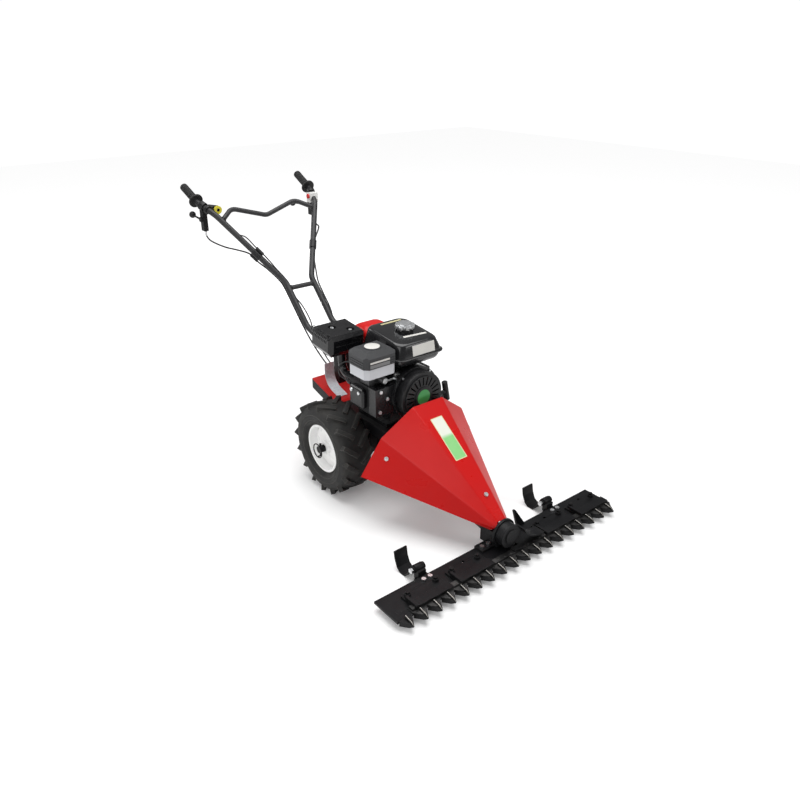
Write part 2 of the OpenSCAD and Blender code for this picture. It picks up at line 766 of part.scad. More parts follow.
// The cast case of the knife drive: a barrel, a bearing block and a foot on the bar
module front_housing() {
    color(black) machine() difference() {
        union() {
            block([-case_half, case_half], [case_front, case_rear], [case_under, case_top]);
            translate([0, barrel_rear, barrel_z]) rotate([90, 0, 0])
                cylinder(h = barrel_rear - barrel_front, d = barrel_d);
            translate([0, barrel_rear - 2, barrel_z]) rotate([90, 0, 0]) cylinder(h = 8, d = barrel_d + 12);
            translate([0, barrel_front + 1, barrel_z]) rotate([90, 0, 0]) cylinder(h = 5, d = barrel_d - 30);
            for (s = [0, 1]) mirror([s, 0, 0]) {
                block(
                    [tunnel_half, housing_foot_half], [housing_foot_front, bar_rear],
                    [bar_top, bar_top + housing_foot_t]
                );
                block([tunnel_half, case_half], [housing_foot_front, case_rear], [bar_top, case_under + 1]);
            }
        }
        translate([0, pivot_y, case_under - 1])
            cylinder(h = shaft_top - case_under + 4, r = shaft_r + run_gap);
        for (s = [-1, 1], x = housing_bolt_x)
            translate([s * x, housing_bolt_y, 0]) hole(zinc_bolt_d, bar_top - 1, bar_top + 20);
    }
}

// A hollow-curved wing beside the barrel that parts the crop
module saddle_guard() {
    centre = [128, 148];
    r = 95;
    wall = 5;
    color(black) machine() difference() {
        union() {
            intersection() {
                translate([centre.x, 84, centre.y]) rotate([90, 0, 0])
                    cylinder(h = 40, r = r + wall, $fn = 96);
                block([20, centre.x + 6], [40, 90], [bar_top, 104]);
            }
            // The ear that is welded to the barrel
            block([barrel_d / 2 - 10, centre.x - r + 20], [64, 82], [barrel_z, barrel_z + 14]);
        }
        translate([centre.x, 90, centre.y]) rotate([90, 0, 0]) cylinder(h = 60, r = r, $fn = 96);
        translate([0, 110, barrel_z]) rotate([90, 0, 0]) cylinder(h = 60, d = barrel_d + 2 * seat_gap);
    }
}

// A tapered blade that stands on the bar's rear edge beside the drive
module deflector_finger() {
    color(black) machine()
        front_plate(bar_rear - 8, bar_rear, [
            [110, bar_top], [146, bar_top], [95, bar_top + 73], [87, bar_top + 73]
        ]);
}

// The arm that swings the knife to and fro, on its upright shaft
module rocker() {
    color(dark) machine() translate([0, pivot_y, 0]) rotate([0, 0, rocker_rest]) {
        translate([0, 0, rocker_under]) cylinder(h = shaft_top - rocker_under, r = shaft_r);
        block([-5, 5], [-rocker_l, 0], [rocker_under, rocker_top]);
        translate([0, -rocker_l, rocker_under]) cylinder(h = rocker_top - rocker_under + 3, r = ball_r);
    }
}

// The tube between the gearbox and the knife drive, with the hood's front stay
module drive_tube() {
    front = [0, case_rear, tube_front_z];
    rear = [0, gearbox_front, tube_rear_z];
    reach = 80 * unit(rear - front);
    stay = nose_bolt - (hood_t + seat_gap) * hood_top_n;
    color(black) machine() difference() {
        union() {
            intersection() {
                rod(front - reach, rear + reach, drive_tube_d / 2);
                block([-60, 60], [case_rear, gearbox_front], [0, 300]);
            }
            rod(stay - 84 * hood_top_n, stay, 9);
        }
        rod(stay - 20 * hood_top_n, stay + 5 * hood_top_n, hood_bolt_d / 2 + bolt_gap);
    }
}

// The hood: one folded sheet with a top facet, two side facets each side and a turned-in nose
module hood() {
    edges = [
        hood_rear_low, hood_rear_mid, hood_rear_top, hood_nose_top, hood_nose_mid, hood_nose_low,
        hood_low_front
    ];
    push = [
        hood_lower_n, mitre(hood_upper_n, hood_lower_n), mitre(hood_top_n, hood_upper_n),
        mitre(hood_top_n, hood_upper_n), mitre(hood_upper_n, hood_lower_n), hood_nose_n,
        mitre(hood_lower_n, hood_nose_n)
    ];
    n = len(edges);
    outer = edges;
    inner = [for (i = [0:1:n - 1]) edges[i] - hood_t * push[i]];
    corners = concat(outer, inner, [for (p = outer) flip(p)], [for (p = inner) flip(p)]);
    // Facets of the left half, wound to face outwards
    skin = [[1, 0, 6], [1, 6, 4], [2, 1, 4], [2, 4, 3], [4, 6, 5]];
    rim = [[0, 1], [1, 2], [3, 4], [4, 5], [5, 6], [6, 0]];
    half = concat(
        skin,
        [for (f = skin) [f[2] + n, f[1] + n, f[0] + n]],
        [for (e = rim) each [[e[0], e[1], e[1] + n], [e[0], e[1] + n, e[0] + n]]]
    );
    other = [for (f = half) [f[2] + 2 * n, f[1] + 2 * n, f[0] + 2 * n]];
    l = 2 * n;
    top = [
        [2, 3, 3 + l], [2, 3 + l, 2 + l], [2 + n, 3 + l + n, 3 + n], [2 + n, 2 + l + n, 3 + l + n],
        [2, 2 + l, 2 + l + n], [2, 2 + l + n, 2 + n], [3, 3 + n, 3 + l + n], [3, 3 + l + n, 3 + l]
    ];
    color(red) machine() difference() {
        polyhedron(corners, concat(half, other, top));
        rod(nose_bolt - 10 * hood_top_n, nose_bolt + 10 * hood_top_n, hood_bolt_d / 2 + bolt_gap);
        for (s = [0, 1]) mirror([s, 0, 0])
            rod(side_bolt - 10 * hood_lower_n, side_bolt + 10 * hood_lower_n, hood_bolt_d / 2 + bolt_gap);
    }
}

module hood_bolt(p, n) {
    rod(p + seat_gap * n, p + (hood_bolt_head_h + seat_gap) * n, hood_bolt_head_d / 2);
    rod(p - 14 * n, p + n, hood_bolt_d / 2);
}

module hood_bolts() {
    color(zinc) machine() {
        hood_bolt(nose_bolt, hood_top_n);
        for (s = [0, 1]) mirror([s, 0, 0]) hood_bolt(side_bolt, hood_lower_n);
    }
}

// Two rails, kinked up at the rear, and the cross bar that carries the hood's sides
module frame() {
    rail = [
        [rail_front, rail_top], [rail_front, rail_top - rail_h], [bed_knee, rail_top - rail_h],
        [bed_rear, rail_top - rail_h + bed_rise], [bed_rear, rail_top + bed_rise], [bed_knee, rail_top]
    ];
    seat = side_bolt - (hood_t + seat_gap) * hood_lower_n;
    color(dark) machine() for (s = [0, 1]) mirror([s, 0, 0]) difference() {
        union() {
            translate([rail_half - rail_t / 2, 0, 0]) side_plate(rail_t, rail);
            block(
                [-0.01, side_bolt.x - 16], [rail_front, rail_front + 14],
                [rail_top - rail_h, rail_top - rail_h + 18]
            );
            rod(seat - 26 * hood_lower_n, seat, 8);
        }
        rod(seat - 20 * hood_lower_n, seat + 5 * hood_lower_n, hood_bolt_d / 2 + bolt_gap);
    }
}

// The red sheet that the engine stands on
module bed_plate() {
    color(red) machine() side_plate(2 * rail_half, [
        [bed_front, rail_top], [bed_knee, rail_top], [bed_rear, rail_top + bed_rise],
        [bed_rear, bed_z + bed_rise], [bed_knee, bed_z], [bed_front, bed_z]
    ]);
}

// Gear case under the bed, with bosses for the axle and the drive tube
module gearbox() {
    color(dark) machine() difference() {
        union() {
            translate([-70, axle_y, axle_z]) rotate([0, 90, 0]) cylinder(h = 140, r = gear_r);
            block([-58, 58], [axle_y - 52, axle_y + 60], [axle_z, rail_top]);
            block([-80, 80], [axle_y - 62, axle_y + 70], [rail_top - 14, rail_top]);
            block([-38, 38], [gearbox_front, axle_y], [tube_rear_z - 38, tube_rear_z + 38]);
            translate([-boss_half, axle_y, axle_z]) rotate([0, 90, 0]) cylinder(h = 2 * boss_half, r = 28);
        }
        translate([-200, axle_y, axle_z]) rotate([0, 90, 0]) cylinder(h = 400, r = axle_r + run_gap);
    }
}

module axle() {
    color(dark) machine() difference() {
        translate([-axle_half, axle_y, axle_z]) rotate([0, 90, 0]) cylinder(h = 2 * axle_half, r = axle_r);
        for (s = [-1, 1]) translate([s * pin_x, axle_y, axle_z - 30]) cylinder(h = 60, r = 4 + seat_gap);
    }
}

// A wheel's own frame: +Z runs outwards along the axle from the tyre's middle
module wheel(side) {
    machine() translate([0, axle_y, axle_z]) mirror([side < 0 ? 1 : 0, 0, 0])
        translate([wheel_x, 0, 0]) rotate([0, 90, 0]) children();
}

// White pressed rim: barrel, two flanges, a dished disc and a hub tube
module rim(side) {
    half = rim_w / 2;
    edge = rim_d / 2;
    color(white) wheel(side) rotate_extrude($fn = 96) polygon([
        [axle_r + seat_gap, -24], [hub_r, -24], [hub_r, 24], [barrel_r, 12], [barrel_r, -half],
        [edge, -half], [edge, -half + 3], [barrel_r + 3, -half + 3], [barrel_r + 3, half - 3],
        [edge, half - 3], [edge, half],
        [barrel_r, half], [barrel_r, 16], [hub_r, 28], [hub_r, 40], [axle_r + seat_gap, 40]
    ]);
}

module rim_right() {
    rim(-1);
}

module rim_left() {
    rim(1);
}

// Farm tyre: a hollow carcass with two rows of slanted lugs
module tyre(side) {
    bead = rim_w / 2 - 3 - seat_gap;
    base = barrel_r + 3 + seat_gap;
    crown = tyre_d / 2 - lug_h;
    half = tyre_w / 2;
    wall = [
        [base, bead], [base + 9, bead], [base + 18, half - 5], [base + 34, half], [crown - 26, half - 1],
        [crown - 12, half - 6], [crown - 5, half - 14], [crown - 1, half * 0.45], [crown, 0]
    ];
    hollow = [[base + 16, 26], [base + 30, half - 14], [crown - 26, half - 18], [crown - 20, 0]];
    lug_row = half * 0.5;
    color(black) wheel(side) difference() {
        union() {
            rotate_extrude($fn = 96) polygon(concat(
                wall, [for (i = [len(wall) - 2:-1:0]) [wall[i].x, -wall[i].y]]
            ));
            intersection() {
                difference() {
                    translate([0, 0, -half]) cylinder(h = 2 * half, r = tyre_d / 2, $fn = 96);
                    translate([0, 0, -half - 1]) cylinder(h = 2 * half + 2, r = crown - 15, $fn = 96);
                }
                for (s = [-1, 1], k = [0:1:lug_count - 1])
                    rotate([0, 0, (k + s / 4) * 360 / lug_count]) translate([crown, 0, s * lug_row])
                        rotate([s * 42, 0, 0]) cube([60, lug_w, half * 1.05], center = true);
            }
        }
        rotate_extrude($fn = 96) polygon(concat(
            hollow, [for (i = [len(hollow) - 2:-1:0]) [hollow[i].x, -hollow[i].y]]
        ));
    }
}

module tyre_right() {
    tyre(-1);
}

module tyre_left() {
    tyre(1);
}

// Lynch pins through the axle's ends, each with its sprung ring
module lynch_pins() {
    color(zinc) for (s = [-1, 1]) wheel(s) translate([0, 0, pin_x - wheel_x]) {
        rotate([0, 90, 0]) translate([0, 0, -22]) cylinder(h = 48, r = 4);
        translate([2, 0, 12]) rotate_extrude() translate([25, 0]) circle(2);
        translate([25, 0, 0]) cylinder(h = 12, r = 2.5);
    }
}

// Crankcase with its base flange, its rear boss and the tank's bracket
module crankcase() {
    color(black) machine() {
        block(case_x, [shroud_rear, engine_rear], [bed_z + 10, engine_top]);
        block([case_x[0] - 10, case_x[1] + 10], [shroud_rear + 10, engine_rear - 6], [bed_z, bed_z + 14]);
        translate([crank_x, engine_rear + 6, crank_z]) rotate([90, 0, 0]) cylinder(h = 20, r = 56);
        block(
            [tank_x[0] + 40, tank_x[1] - 30], [tank_y[0] + 100, tank_y[1] - 20], [engine_top - 2, tank_under]
        );
    }
}

// Finned cylinder and head, lying across the machine
module engine_cylinder() {
    color(dark) machine() {
        block(
            [barrel_x + 12, case_x[0]], [shroud_rear + 8, cylinder_rear - 8],
            [cylinder_z[0] + 8, cylinder_z[1] - 8]
        );
        for (k = [0:1:7]) translate([barrel_x + k * 11.2, 0, 0])
            block([0, 5], [shroud_rear, cylinder_rear], cylinder_z);
        block([barrel_x, barrel_x + 30], [shroud_rear, cylinder_rear], cylinder_z);
    }
}

module head_cover() {
    color(black) machine() translate([barrel_x, 0, 0]) rotate([0, -90, 0])
        bevel_box(
            [cylinder_z[0] + 12, cylinder_z[1] - 12], [shroud_rear + 12, cylinder_rear - 12],
            [0, head_t], 8, 6, 6
        );
}

// Blower housing round the flywheel, with its panel in front of the cylinder
module fan_shroud() {
    color(black) machine() {
        intersection() {
            translate([crank_x, shroud_rear, crank_z]) rotate([90, 0, 0])
                cylinder(h = shroud_rear - shroud_front, d = shroud_d, $fn = 96);
            block([-200, 200], [0, 900], [bed_z + 3, 800]);
        }
        block([barrel_x, crank_x], [shroud_front + 8, shroud_rear], cylinder_z);
    }
}

function rope_at(s) = [
    crank_x + rope_offset * sin(rope_angle) + s * cos(rope_angle), rope_y,
    crank_z - rope_offset * cos(rope_angle) + s * sin(rope_angle)
];

// Round starter cover with radial slots, a raised hub and the rope's guide
module recoil_cover() {
    r = recoil_d / 2;
    guide = sqrt(r * r - rope_offset * rope_offset);
    color(black) machine() difference() {
        union() {
            translate([crank_x, shroud_front, crank_z]) rotate([90, 0, 0]) {
                cylinder(h = recoil_depth - 8, r = r, $fn = 96);
                cylinder(h = recoil_depth - 3, r = r - 12, $fn = 96);
                cylinder(h = recoil_depth, r = 34);
            }
            rod(rope_at(guide - 14), rope_at(rope_out - seat_gap), 8);
        }
        translate([crank_x, shroud_front + 1, crank_z]) rotate([90, 0, 0])
            cylinder(h = recoil_depth - 8 - recoil_wall + 1, r = r - recoil_wall, $fn = 96);
        for (k = [0:1:recoil_slots - 1])
            translate([crank_x, 0, crank_z]) rotate([0, k * 360 / recoil_slots, 0])
                block([-2.5, 2.5], [recoil_front - 5, recoil_front + 14], [40, r - 14]);
        rod(rope_at(guide - 30), rope_at(rope_out + 5), rope_r + play);
    }
}

// Pull handle with the straight end of its rope, which lies inside the cover
module recoil_handle() {
    n = [-sin(rope_angle), 0, cos(rope_angle)];
    color(black) machine() {
        rod(rope_at(-rope_in), rope_at(rope_out + 4), rope_r);
        rod(rope_at(rope_out), rope_at(rope_out + 14), 7);
        rod(rope_at(rope_out + 20) - 34 * n, rope_at(rope_out + 20) + 34 * n, 10);
    }
}

// Fuel tank: two pressed halves with a seam flange, and the filler's collar
module fuel_tank() {
    color(black) machine() {
        intersection() {
            translate([0, 0, tank_seam]) linear_extrude(tank_h) polygon(cut_corners(tank_x, tank_y, 26));
            front_plate(tank_y[0], tank_y[1], lean_top(tank_x, [tank_seam, tank_top], tank_top_x, 50));
            translate([(tank_x[0] + tank_x[1]) / 2, 0, 0]) side_plate(tank_x[1] - tank_x[0], [
                [tank_y[0], tank_seam], [tank_y[1], tank_seam], [tank_y[1], tank_top - 30],
                [tank_top_y[1], tank_top], [tank_top_y[0], tank_top - tank_fall], [tank_y[0], tank_seam + 8]
            ]);
        }
        bevel_box(tank_x + [-3, 6], tank_y + [-5, 5], [tank_seam - 6, tank_seam], 26, 1, 1);
        mirror([0, 0, 1])
            bevel_box(tank_x + [4, -4], tank_y + [4, -4], [-tank_seam, -tank_under], 26, 10, 16);
        translate([cap_place.x, cap_place.y, tank_seam + 10])
            cylinder(h = collar_top - tank_seam - 10, d = cap_d - 14);
    }
}

// Lobed metal filler cap
module fuel_cap() {
    seat = collar_top + seat_gap;
    color(silver) machine() translate([cap_place.x, cap_place.y, seat]) difference() {
        union() {
            cylinder(h = 12, d = cap_d);
            cylinder(h = 16, d = cap_d - 16);
        }
        for (k = [0:1:7]) rotate([0, 0, k * 45]) translate([cap_d / 2 + 5, 0, -1]) cylinder(h = 20, r = 9);
    }
}

// Air cleaner lid: bevelled, ribbed round its sides, with a raised round pad
module air_cleaner_lid() {
    middle = [(cleaner_x[0] + cleaner_x[1]) / 2, (cleaner_y[0] + cleaner_y[1]) / 2];
    color(dark) machine() {
        difference() {
            bevel_box(cleaner_x, cleaner_y, [lid_under, lid_top], 14, 20, 17);
            for (z = [6, 14, 22]) difference() {
                block(cleaner_x - [5, -5], cleaner_y - [5, -5], [lid_under + z, lid_under + z + 2.5]);
                block(cleaner_x + [2, -2], cleaner_y + [2, -2], [lid_under + z - 1, lid_under + z + 4]);
            }
        }
        translate([middle.x, middle.y, lid_top - 1]) cylinder(h = 2.5, r = 30);
    }
}

module air_cleaner_base() {
    color(silver) machine()
        bevel_box(cleaner_x + [3, -3], cleaner_y + [3, -3], [cleaner_under, lid_under], 12, 0.5, 0.5);
}

module carburettor() {
    color(dark) machine() {
        block(cleaner_x + [48, -20], [shroud_rear + 6, cleaner_y[1] - 6], [cylinder_z[1], cleaner_under]);
        translate([choke_place.x, shroud_rear - 20, choke_place.y]) rotate([-90, 0, 0])
            cylinder(h = 30, r = 12);
    }
}

// Choke lever on the front of the carburettor's boss
module choke_lever() {
    pivot = [choke_place.x, shroud_rear - 20 - play, choke_place.y];
    color(zinc) machine() {
        translate(pivot) rotate([90, 0, 0]) cylinder(h = 3, r = 9);
        translate([pivot.x, pivot.y - 3, pivot.z - choke_half]) cube([choke_reach, 3, 2 * choke_half]);
        translate([pivot.x + choke_reach - 3, pivot.y - 14, pivot.z - choke_half])
            cube([3, 13, 2 * choke_half]);
    }
}

// The muffler's lean, about the lower edge of its front
module lean_back() {
    translate([0, muffler_y[0], muffler_under]) rotate([muffler_lean, 0, 0])
        translate([0, -muffler_y[0], -muffler_under]) children();
}

// Boxed muffler with louvres along its upper edges and its pipe from the head
module muffler() {
    color(black) machine() {
        lean_back() difference() {
            union() {
                bevel_box(muffler_x, muffler_y, [muffler_seam, muffler_top], 14, 12, 14);
                mirror([0, 0, 1])
                    bevel_box(muffler_x, muffler_y, [-muffler_seam, -muffler_under], 14, 12, 18);
            }
            for (k = [0:1:9]) translate([muffler_x[0], muffler_y[0] + 26 + k * 9, muffler_top - 22])
                rotate([0, 45, 0]) cube([8, 4, 40], center = true);
            for (p = muffler_bolt_places) translate([p.x, p.y, muffler_top - 7]) cylinder(h = 10, r = 14);
            block(
                [muffler_x[0] + 24, muffler_x[1] - 24], [muffler_y[0] - 1, muffler_y[0] + 3],
                [muffler_seam + 6, muffler_seam + 12]
            );
        }
        bent_tube([
            [pipe_x, cylinder_rear, pipe_z], [pipe_x, muffler_y[0] + 50, pipe_z],
            [pipe_x, muffler_y[0] + 50, muffler_under + 16]
        ], 14, 36);
    }
}

// Zinc-plated bolts on the muffler and on the blower housing
module engine_bolts() {
    color(zinc) machine() {
        lean_back() for (p = muffler_bolt_places)
            translate([p.x, p.y, muffler_top - 7]) cylinder(h = 6, d = 13, $fn = 6);
        for (p = [[-140, cylinder_z[0] + 14], [-136, cylinder_z[1] - 10], [-110, cylinder_z[1] - 40]])
            translate([p.x, shroud_front + 8, p.y]) rotate([90, 0, 0]) cylinder(h = 5, d = 13, $fn = 6);
        for (a = [-40, 40, 140]) translate([crank_x, shroud_front, crank_z]) rotate([0, a, 0])
            translate([0, 0, shroud_d / 2 - 5]) rotate([90, 0, 0]) cylinder(h = 5, d = 8, $fn = 6);
        for (y = [shroud_rear + 30, cylinder_rear - 30]) translate([barrel_x - head_t, y, crank_z + 24])
            rotate([0, -90, 0]) cylinder(h = 5, d = 13, $fn = 6);
    }
}

// Bright sheet on the sloping end of the bed, rolled up to an upright edge at its rear
module heat_shield() {
    wall = 2;
    x = [-75, -35];
    y = [bed_knee + 16, bed_knee + 55];
    lean = atan(bed_rise / (bed_rear - bed_knee));
    middle = [y[1] - shield_r * sin(lean), bed_at(y[1]) + shield_r * cos(lean)];
    turns = [for (k = [0:1:12]) lean + (90 - lean) * k / 12];
    outer = [for (a = turns) middle + shield_r * [sin(a), -cos(a)]];
    inner = [for (k = [12:-1:0]) middle + (shield_r - wall) * [sin(turns[k]), -cos(turns[k])]];
    rear = middle.x + shield_r;
    color(zinc) machine() translate([(x[0] + x[1]) / 2, 0, 0]) side_plate(x[1] - x[0], concat(
        [[y[0], bed_at(y[0])]], outer, [[rear, shield_top], [rear - wall, shield_top]], inner,
        [[y[0], bed_at(y[0]) + wall]]
    ));
}

// Red sheet cover over the belt and pulleys behind the engine
module belt_guard() {
    color(red) machine() bevel_box(guard_x, guard_y, [bed_z, guard_top], 8, 24, 24);
}

// A post on the bed with the clamp block that holds the handlebar's ends
module handle_bracket() {
    post = [
        [bracket_y[0], bed_at(bracket_y[0])], [bracket_y[1], bed_at(bracket_y[1])],
        [bracket_y[1], bracket_z[1]], [bracket_y[0], bracket_z[1]]
    ];
    clamp_half = handle_line[0].x + tube_r + clamp_wall;
    color(black) machine() difference() {
        union() {
            side_plate(52, post);
            block([-clamp_half, clamp_half], bracket_y, bracket_z);
        }
        for (s = [0, 1]) mirror([s, 0, 0])
            rod(between(handle_line[0], handle_line[1], -0.2), handle_line[1], tube_r + seat_gap);
    }
}

module handle_right() {
    color(black) machine() mirror([1, 0, 0]) bent_tube(handle_line, tube_r, bend_r);
}

module handle_left() {
    color(black) machine() bent_tube(handle_line, tube_r, bend_r);
}

// The straight cross tube and the waved brace, both welded to the handlebar tubes
module handle_braces() {
    color(black) machine() difference() {
        union() {
            rod(flip(cross_point), cross_point, brace_d / 2);
            bent_tube(
                [flip(brace_point), flip(brace_peak), brace_dip, brace_peak, brace_point], brace_d / 2, 40
            );
        }
        for (s = [0, 1]) mirror([s, 0, 0]) {
            rod(handle_line[1], handle_line[2], tube_r + seat_gap);
            rod(handle_line[2], handle_line[3], tube_r + seat_gap);
        }
    }
}

// Rubber grips with a guard disc, closed over the tubes' ends
module grips() {
    bore = norm(grip_end - grip_start) - 9;
    start = grip_start + 9 * grip_dir;
    color(black) machine() for (s = [0, 1]) mirror([s, 0, 0]) along(start, grip_far) difference() {
        union() {
            cylinder(h = norm(grip_far - start), d = grip_d);
            cylinder(h = 8, d = grip_disc_d);
        }
        translate([0, 0, -1]) cylinder(h = bore + 1 + seat_gap, r = tube_r + seat_gap);
    }
}

module clamp_ring(p, l) {
    d = unit(handle_line[4] - handle_line[3]);
    rod(p - l / 2 * d, p + l / 2 * d, tube_r + clamp_wall);
}

module handle_bore() {
    rod(handle_line[3], handle_line[4], tube_r + seat_gap);
}

// Perches of the two hand levers, clamped under the tubes
module lever_perches() {
    color(black) machine() for (s = [0, 1]) mirror([s, 0, 0]) difference() {
        union() {
            clamp_ring(perch_point, 20);
            block(
                [perch_point.x - perch_w / 2, perch_point.x + perch_w / 2],
                [perch_point.y - 10, perch_point.y + 14], [perch_under, perch_point.z]
            );
        }
        handle_bore();
    }
}

// A ball-ended hand lever on the side of its perch
module lever(hub_x, ball) {
    hub = [hub_x, lever_pivot.y, lever_pivot.z];
    color(dark) machine() {
        translate([hub_x - lever_hub_w / 2, lever_pivot.y, lever_pivot.z])
            rotate([0, 90, 0]) cylinder(h = lever_hub_w, r = lever_hub_r);
        rod(hub, ball, 3.5);
        translate(ball) sphere(d = lever_ball_d);
    }
}

module lever_right() {
    lever(-perch_point.x - perch_w / 2 - lever_hub_w / 2 - play, ball_right);
}

module lever_left() {
    lever(perch_point.x - perch_w / 2 - lever_hub_w / 2 - play, ball_left);
}

// Tapered body of the safety button, clamped to the right-hand tube
module button_body() {
    front = button_axis.y + 8 + button_travel + 1;
    color(black) machine() difference() {
        union() {
            translate([button_axis.x, front, button_axis.z]) rotate([-90, 0, 0])
                cylinder(h = 66, d1 = button_d + 1, d2 = 18);
            mirror([1, 0, 0]) clamp_ring(button_point, 10);
        }
        mirror([1, 0, 0]) handle_bore();
        translate([button_axis.x, front - 1, button_axis.z])
            rotate([-90, 0, 0]) cylinder(h = 30, r = 9 + run_gap);
    }
}

// Yellow push button: a ring on a stem
module safety_button() {
    color(yellow) machine() translate(button_axis) rotate([-90, 0, 0]) difference() {
        union() {
            cylinder(h = 8, d = button_d);
            cylinder(h = 28, r = 9);
        }
        translate([0, 0, -1]) cylinder(h = 8, r = 5.5);
    }
}

// White housing of the engine's stop switch on the left-hand tube
module switch_body() {
    color(white) machine() difference() {
        block(
            [switch_point.x - 20, switch_point.x + 18], [switch_point.y - 8, switch_point.y + 18],
            [switch_point.z - 17, switch_point.z + 20]
        );
        handle_bore();
        translate([switch_point.x - 21, switch_point.y + 2, switch_point.z + 8]) rotate([0, 90, 0])
            cylinder(h = 9, r = stop_r + run_gap);
    }
}

module stop_button() {
    color(red) machine() translate([switch_point.x - 25, switch_point.y + 2, switch_point.z + 8])
        rotate([0, 90, 0]) cylinder(h = 9.5, r = stop_r);
}

// Bands on the tubes with eyelets for the cables
module cable_bands() {
    low = eyelet_low;
    high = eyelet_high;
    ends = band_l / 2 * band_dir;
    color(black) machine() for (s = [0, 1]) mirror([s, 0, 0]) difference() {
        union() {
            rod(band_point - ends, band_point + ends, tube_r + 3);
            rod(low - ends, low + ends, cable_d / 2 + 3);
            if (s == 1) rod(high - ends, high + ends, cable_d / 2 + 3);
        }
        rod(handle_line[2], handle_line[3], tube_r + seat_gap);
        rod(low - 2 * ends, low + 2 * ends, cable_d / 2 + 0.2);
        if (s == 1) rod(high - 2 * ends, high + 2 * ends, cable_d / 2 + 0.2);
    }
}

module right_cables() {
    color(black) machine() {
        cable(clutch_route, cable_d / 2);
        cable(button_route, cable_d / 2 - 0.5);
    }
}

module left_cable() {
    color(black) machine() cable(drive_route, cable_d / 2);
}

// Pale ignition wire
module stop_wire() {
    color(white) machine() cable(wire_route, wire_d / 2);
}

module spark_lead() {
    color(black) machine() cable(spark_route, spark_d / 2);
}

bar_plate();
fingers();
bar_bolts();
knife_back();
knife_sections();
knife_head();
hold_downs();
skid_brackets();
skid_right();
skid_left();
zinc_bolts();
front_housing();
saddle_guard();
deflector_finger();
rocker();
drive_tube();
hood();
hood_bolts();
frame();
bed_plate();
gearbox();
axle();
rim_right();
rim_left();
tyre_right();
tyre_left();
lynch_pins();
crankcase();
engine_cylinder();
head_cover();
fan_shroud();
recoil_cover();
recoil_handle();
fuel_tank();
fuel_cap();
air_cleaner_lid();
air_cleaner_base();
carburettor();
choke_lever();
muffler();
engine_bolts();
heat_shield();
belt_guard();
handle_bracket();
handle_right();
handle_left();
handle_braces();
grips();
lever_perches();
lever_right();
lever_left();
button_body();
safety_button();
switch_body();
stop_button();
cable_bands();
right_cables();
left_cable();
stop_wire();
spark_lead();
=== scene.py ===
import bpy
import bmesh
import math
from mathutils import Matrix, Vector


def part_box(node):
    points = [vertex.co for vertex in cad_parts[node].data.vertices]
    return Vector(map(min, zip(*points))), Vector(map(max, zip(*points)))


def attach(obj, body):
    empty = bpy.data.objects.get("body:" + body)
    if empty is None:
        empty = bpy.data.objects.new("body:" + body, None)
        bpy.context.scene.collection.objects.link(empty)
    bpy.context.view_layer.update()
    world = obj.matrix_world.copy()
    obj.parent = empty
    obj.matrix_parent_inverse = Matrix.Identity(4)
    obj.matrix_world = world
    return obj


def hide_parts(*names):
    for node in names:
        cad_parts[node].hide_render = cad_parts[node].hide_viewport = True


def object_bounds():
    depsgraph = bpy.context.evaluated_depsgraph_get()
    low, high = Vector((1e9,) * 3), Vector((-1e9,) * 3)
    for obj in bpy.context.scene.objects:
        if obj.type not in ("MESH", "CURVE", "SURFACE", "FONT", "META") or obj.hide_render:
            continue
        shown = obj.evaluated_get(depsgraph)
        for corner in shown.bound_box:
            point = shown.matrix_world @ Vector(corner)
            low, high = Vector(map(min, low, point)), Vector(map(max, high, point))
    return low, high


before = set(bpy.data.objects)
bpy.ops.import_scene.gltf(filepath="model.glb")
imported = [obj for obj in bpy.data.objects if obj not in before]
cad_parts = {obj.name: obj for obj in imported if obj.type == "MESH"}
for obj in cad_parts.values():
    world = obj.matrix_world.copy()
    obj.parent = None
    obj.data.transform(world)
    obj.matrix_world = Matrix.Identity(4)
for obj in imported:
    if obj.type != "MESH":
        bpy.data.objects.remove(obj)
cad_box = [list(corner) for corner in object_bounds()]

# Cutter bar: a flat steel bar, powder coated black, drilled for the fingers and the plates on top.
# Its coating is dull from grass and rubbed along the top, so it is mottled and lightly scratched.


class Wire:
    """A socket of a finish: arithmetic on it adds Math nodes."""

    def __init__(self, finish, socket):
        self.finish, self.socket = finish, socket

    def maths(self, operation, first, second):
        return self.finish.node("ShaderNodeMath", {"operation": operation}, {0: first, 1: second})

    def __add__(self, other):
        return self.maths("ADD", self, other)

    def __radd__(self, other):
        return self.maths("ADD", other, self)

    def __sub__(self, other):
        return self.maths("SUBTRACT", self, other)

    def __mul__(self, other):
        return self.maths("MULTIPLY", self, other)

    def __rmul__(self, other):
        return self.maths("MULTIPLY", other, self)

    def __gt__(self, other):
        return self.maths("GREATER_THAN", self, other)

    def __lt__(self, other):
        return self.maths("LESS_THAN", self, other)


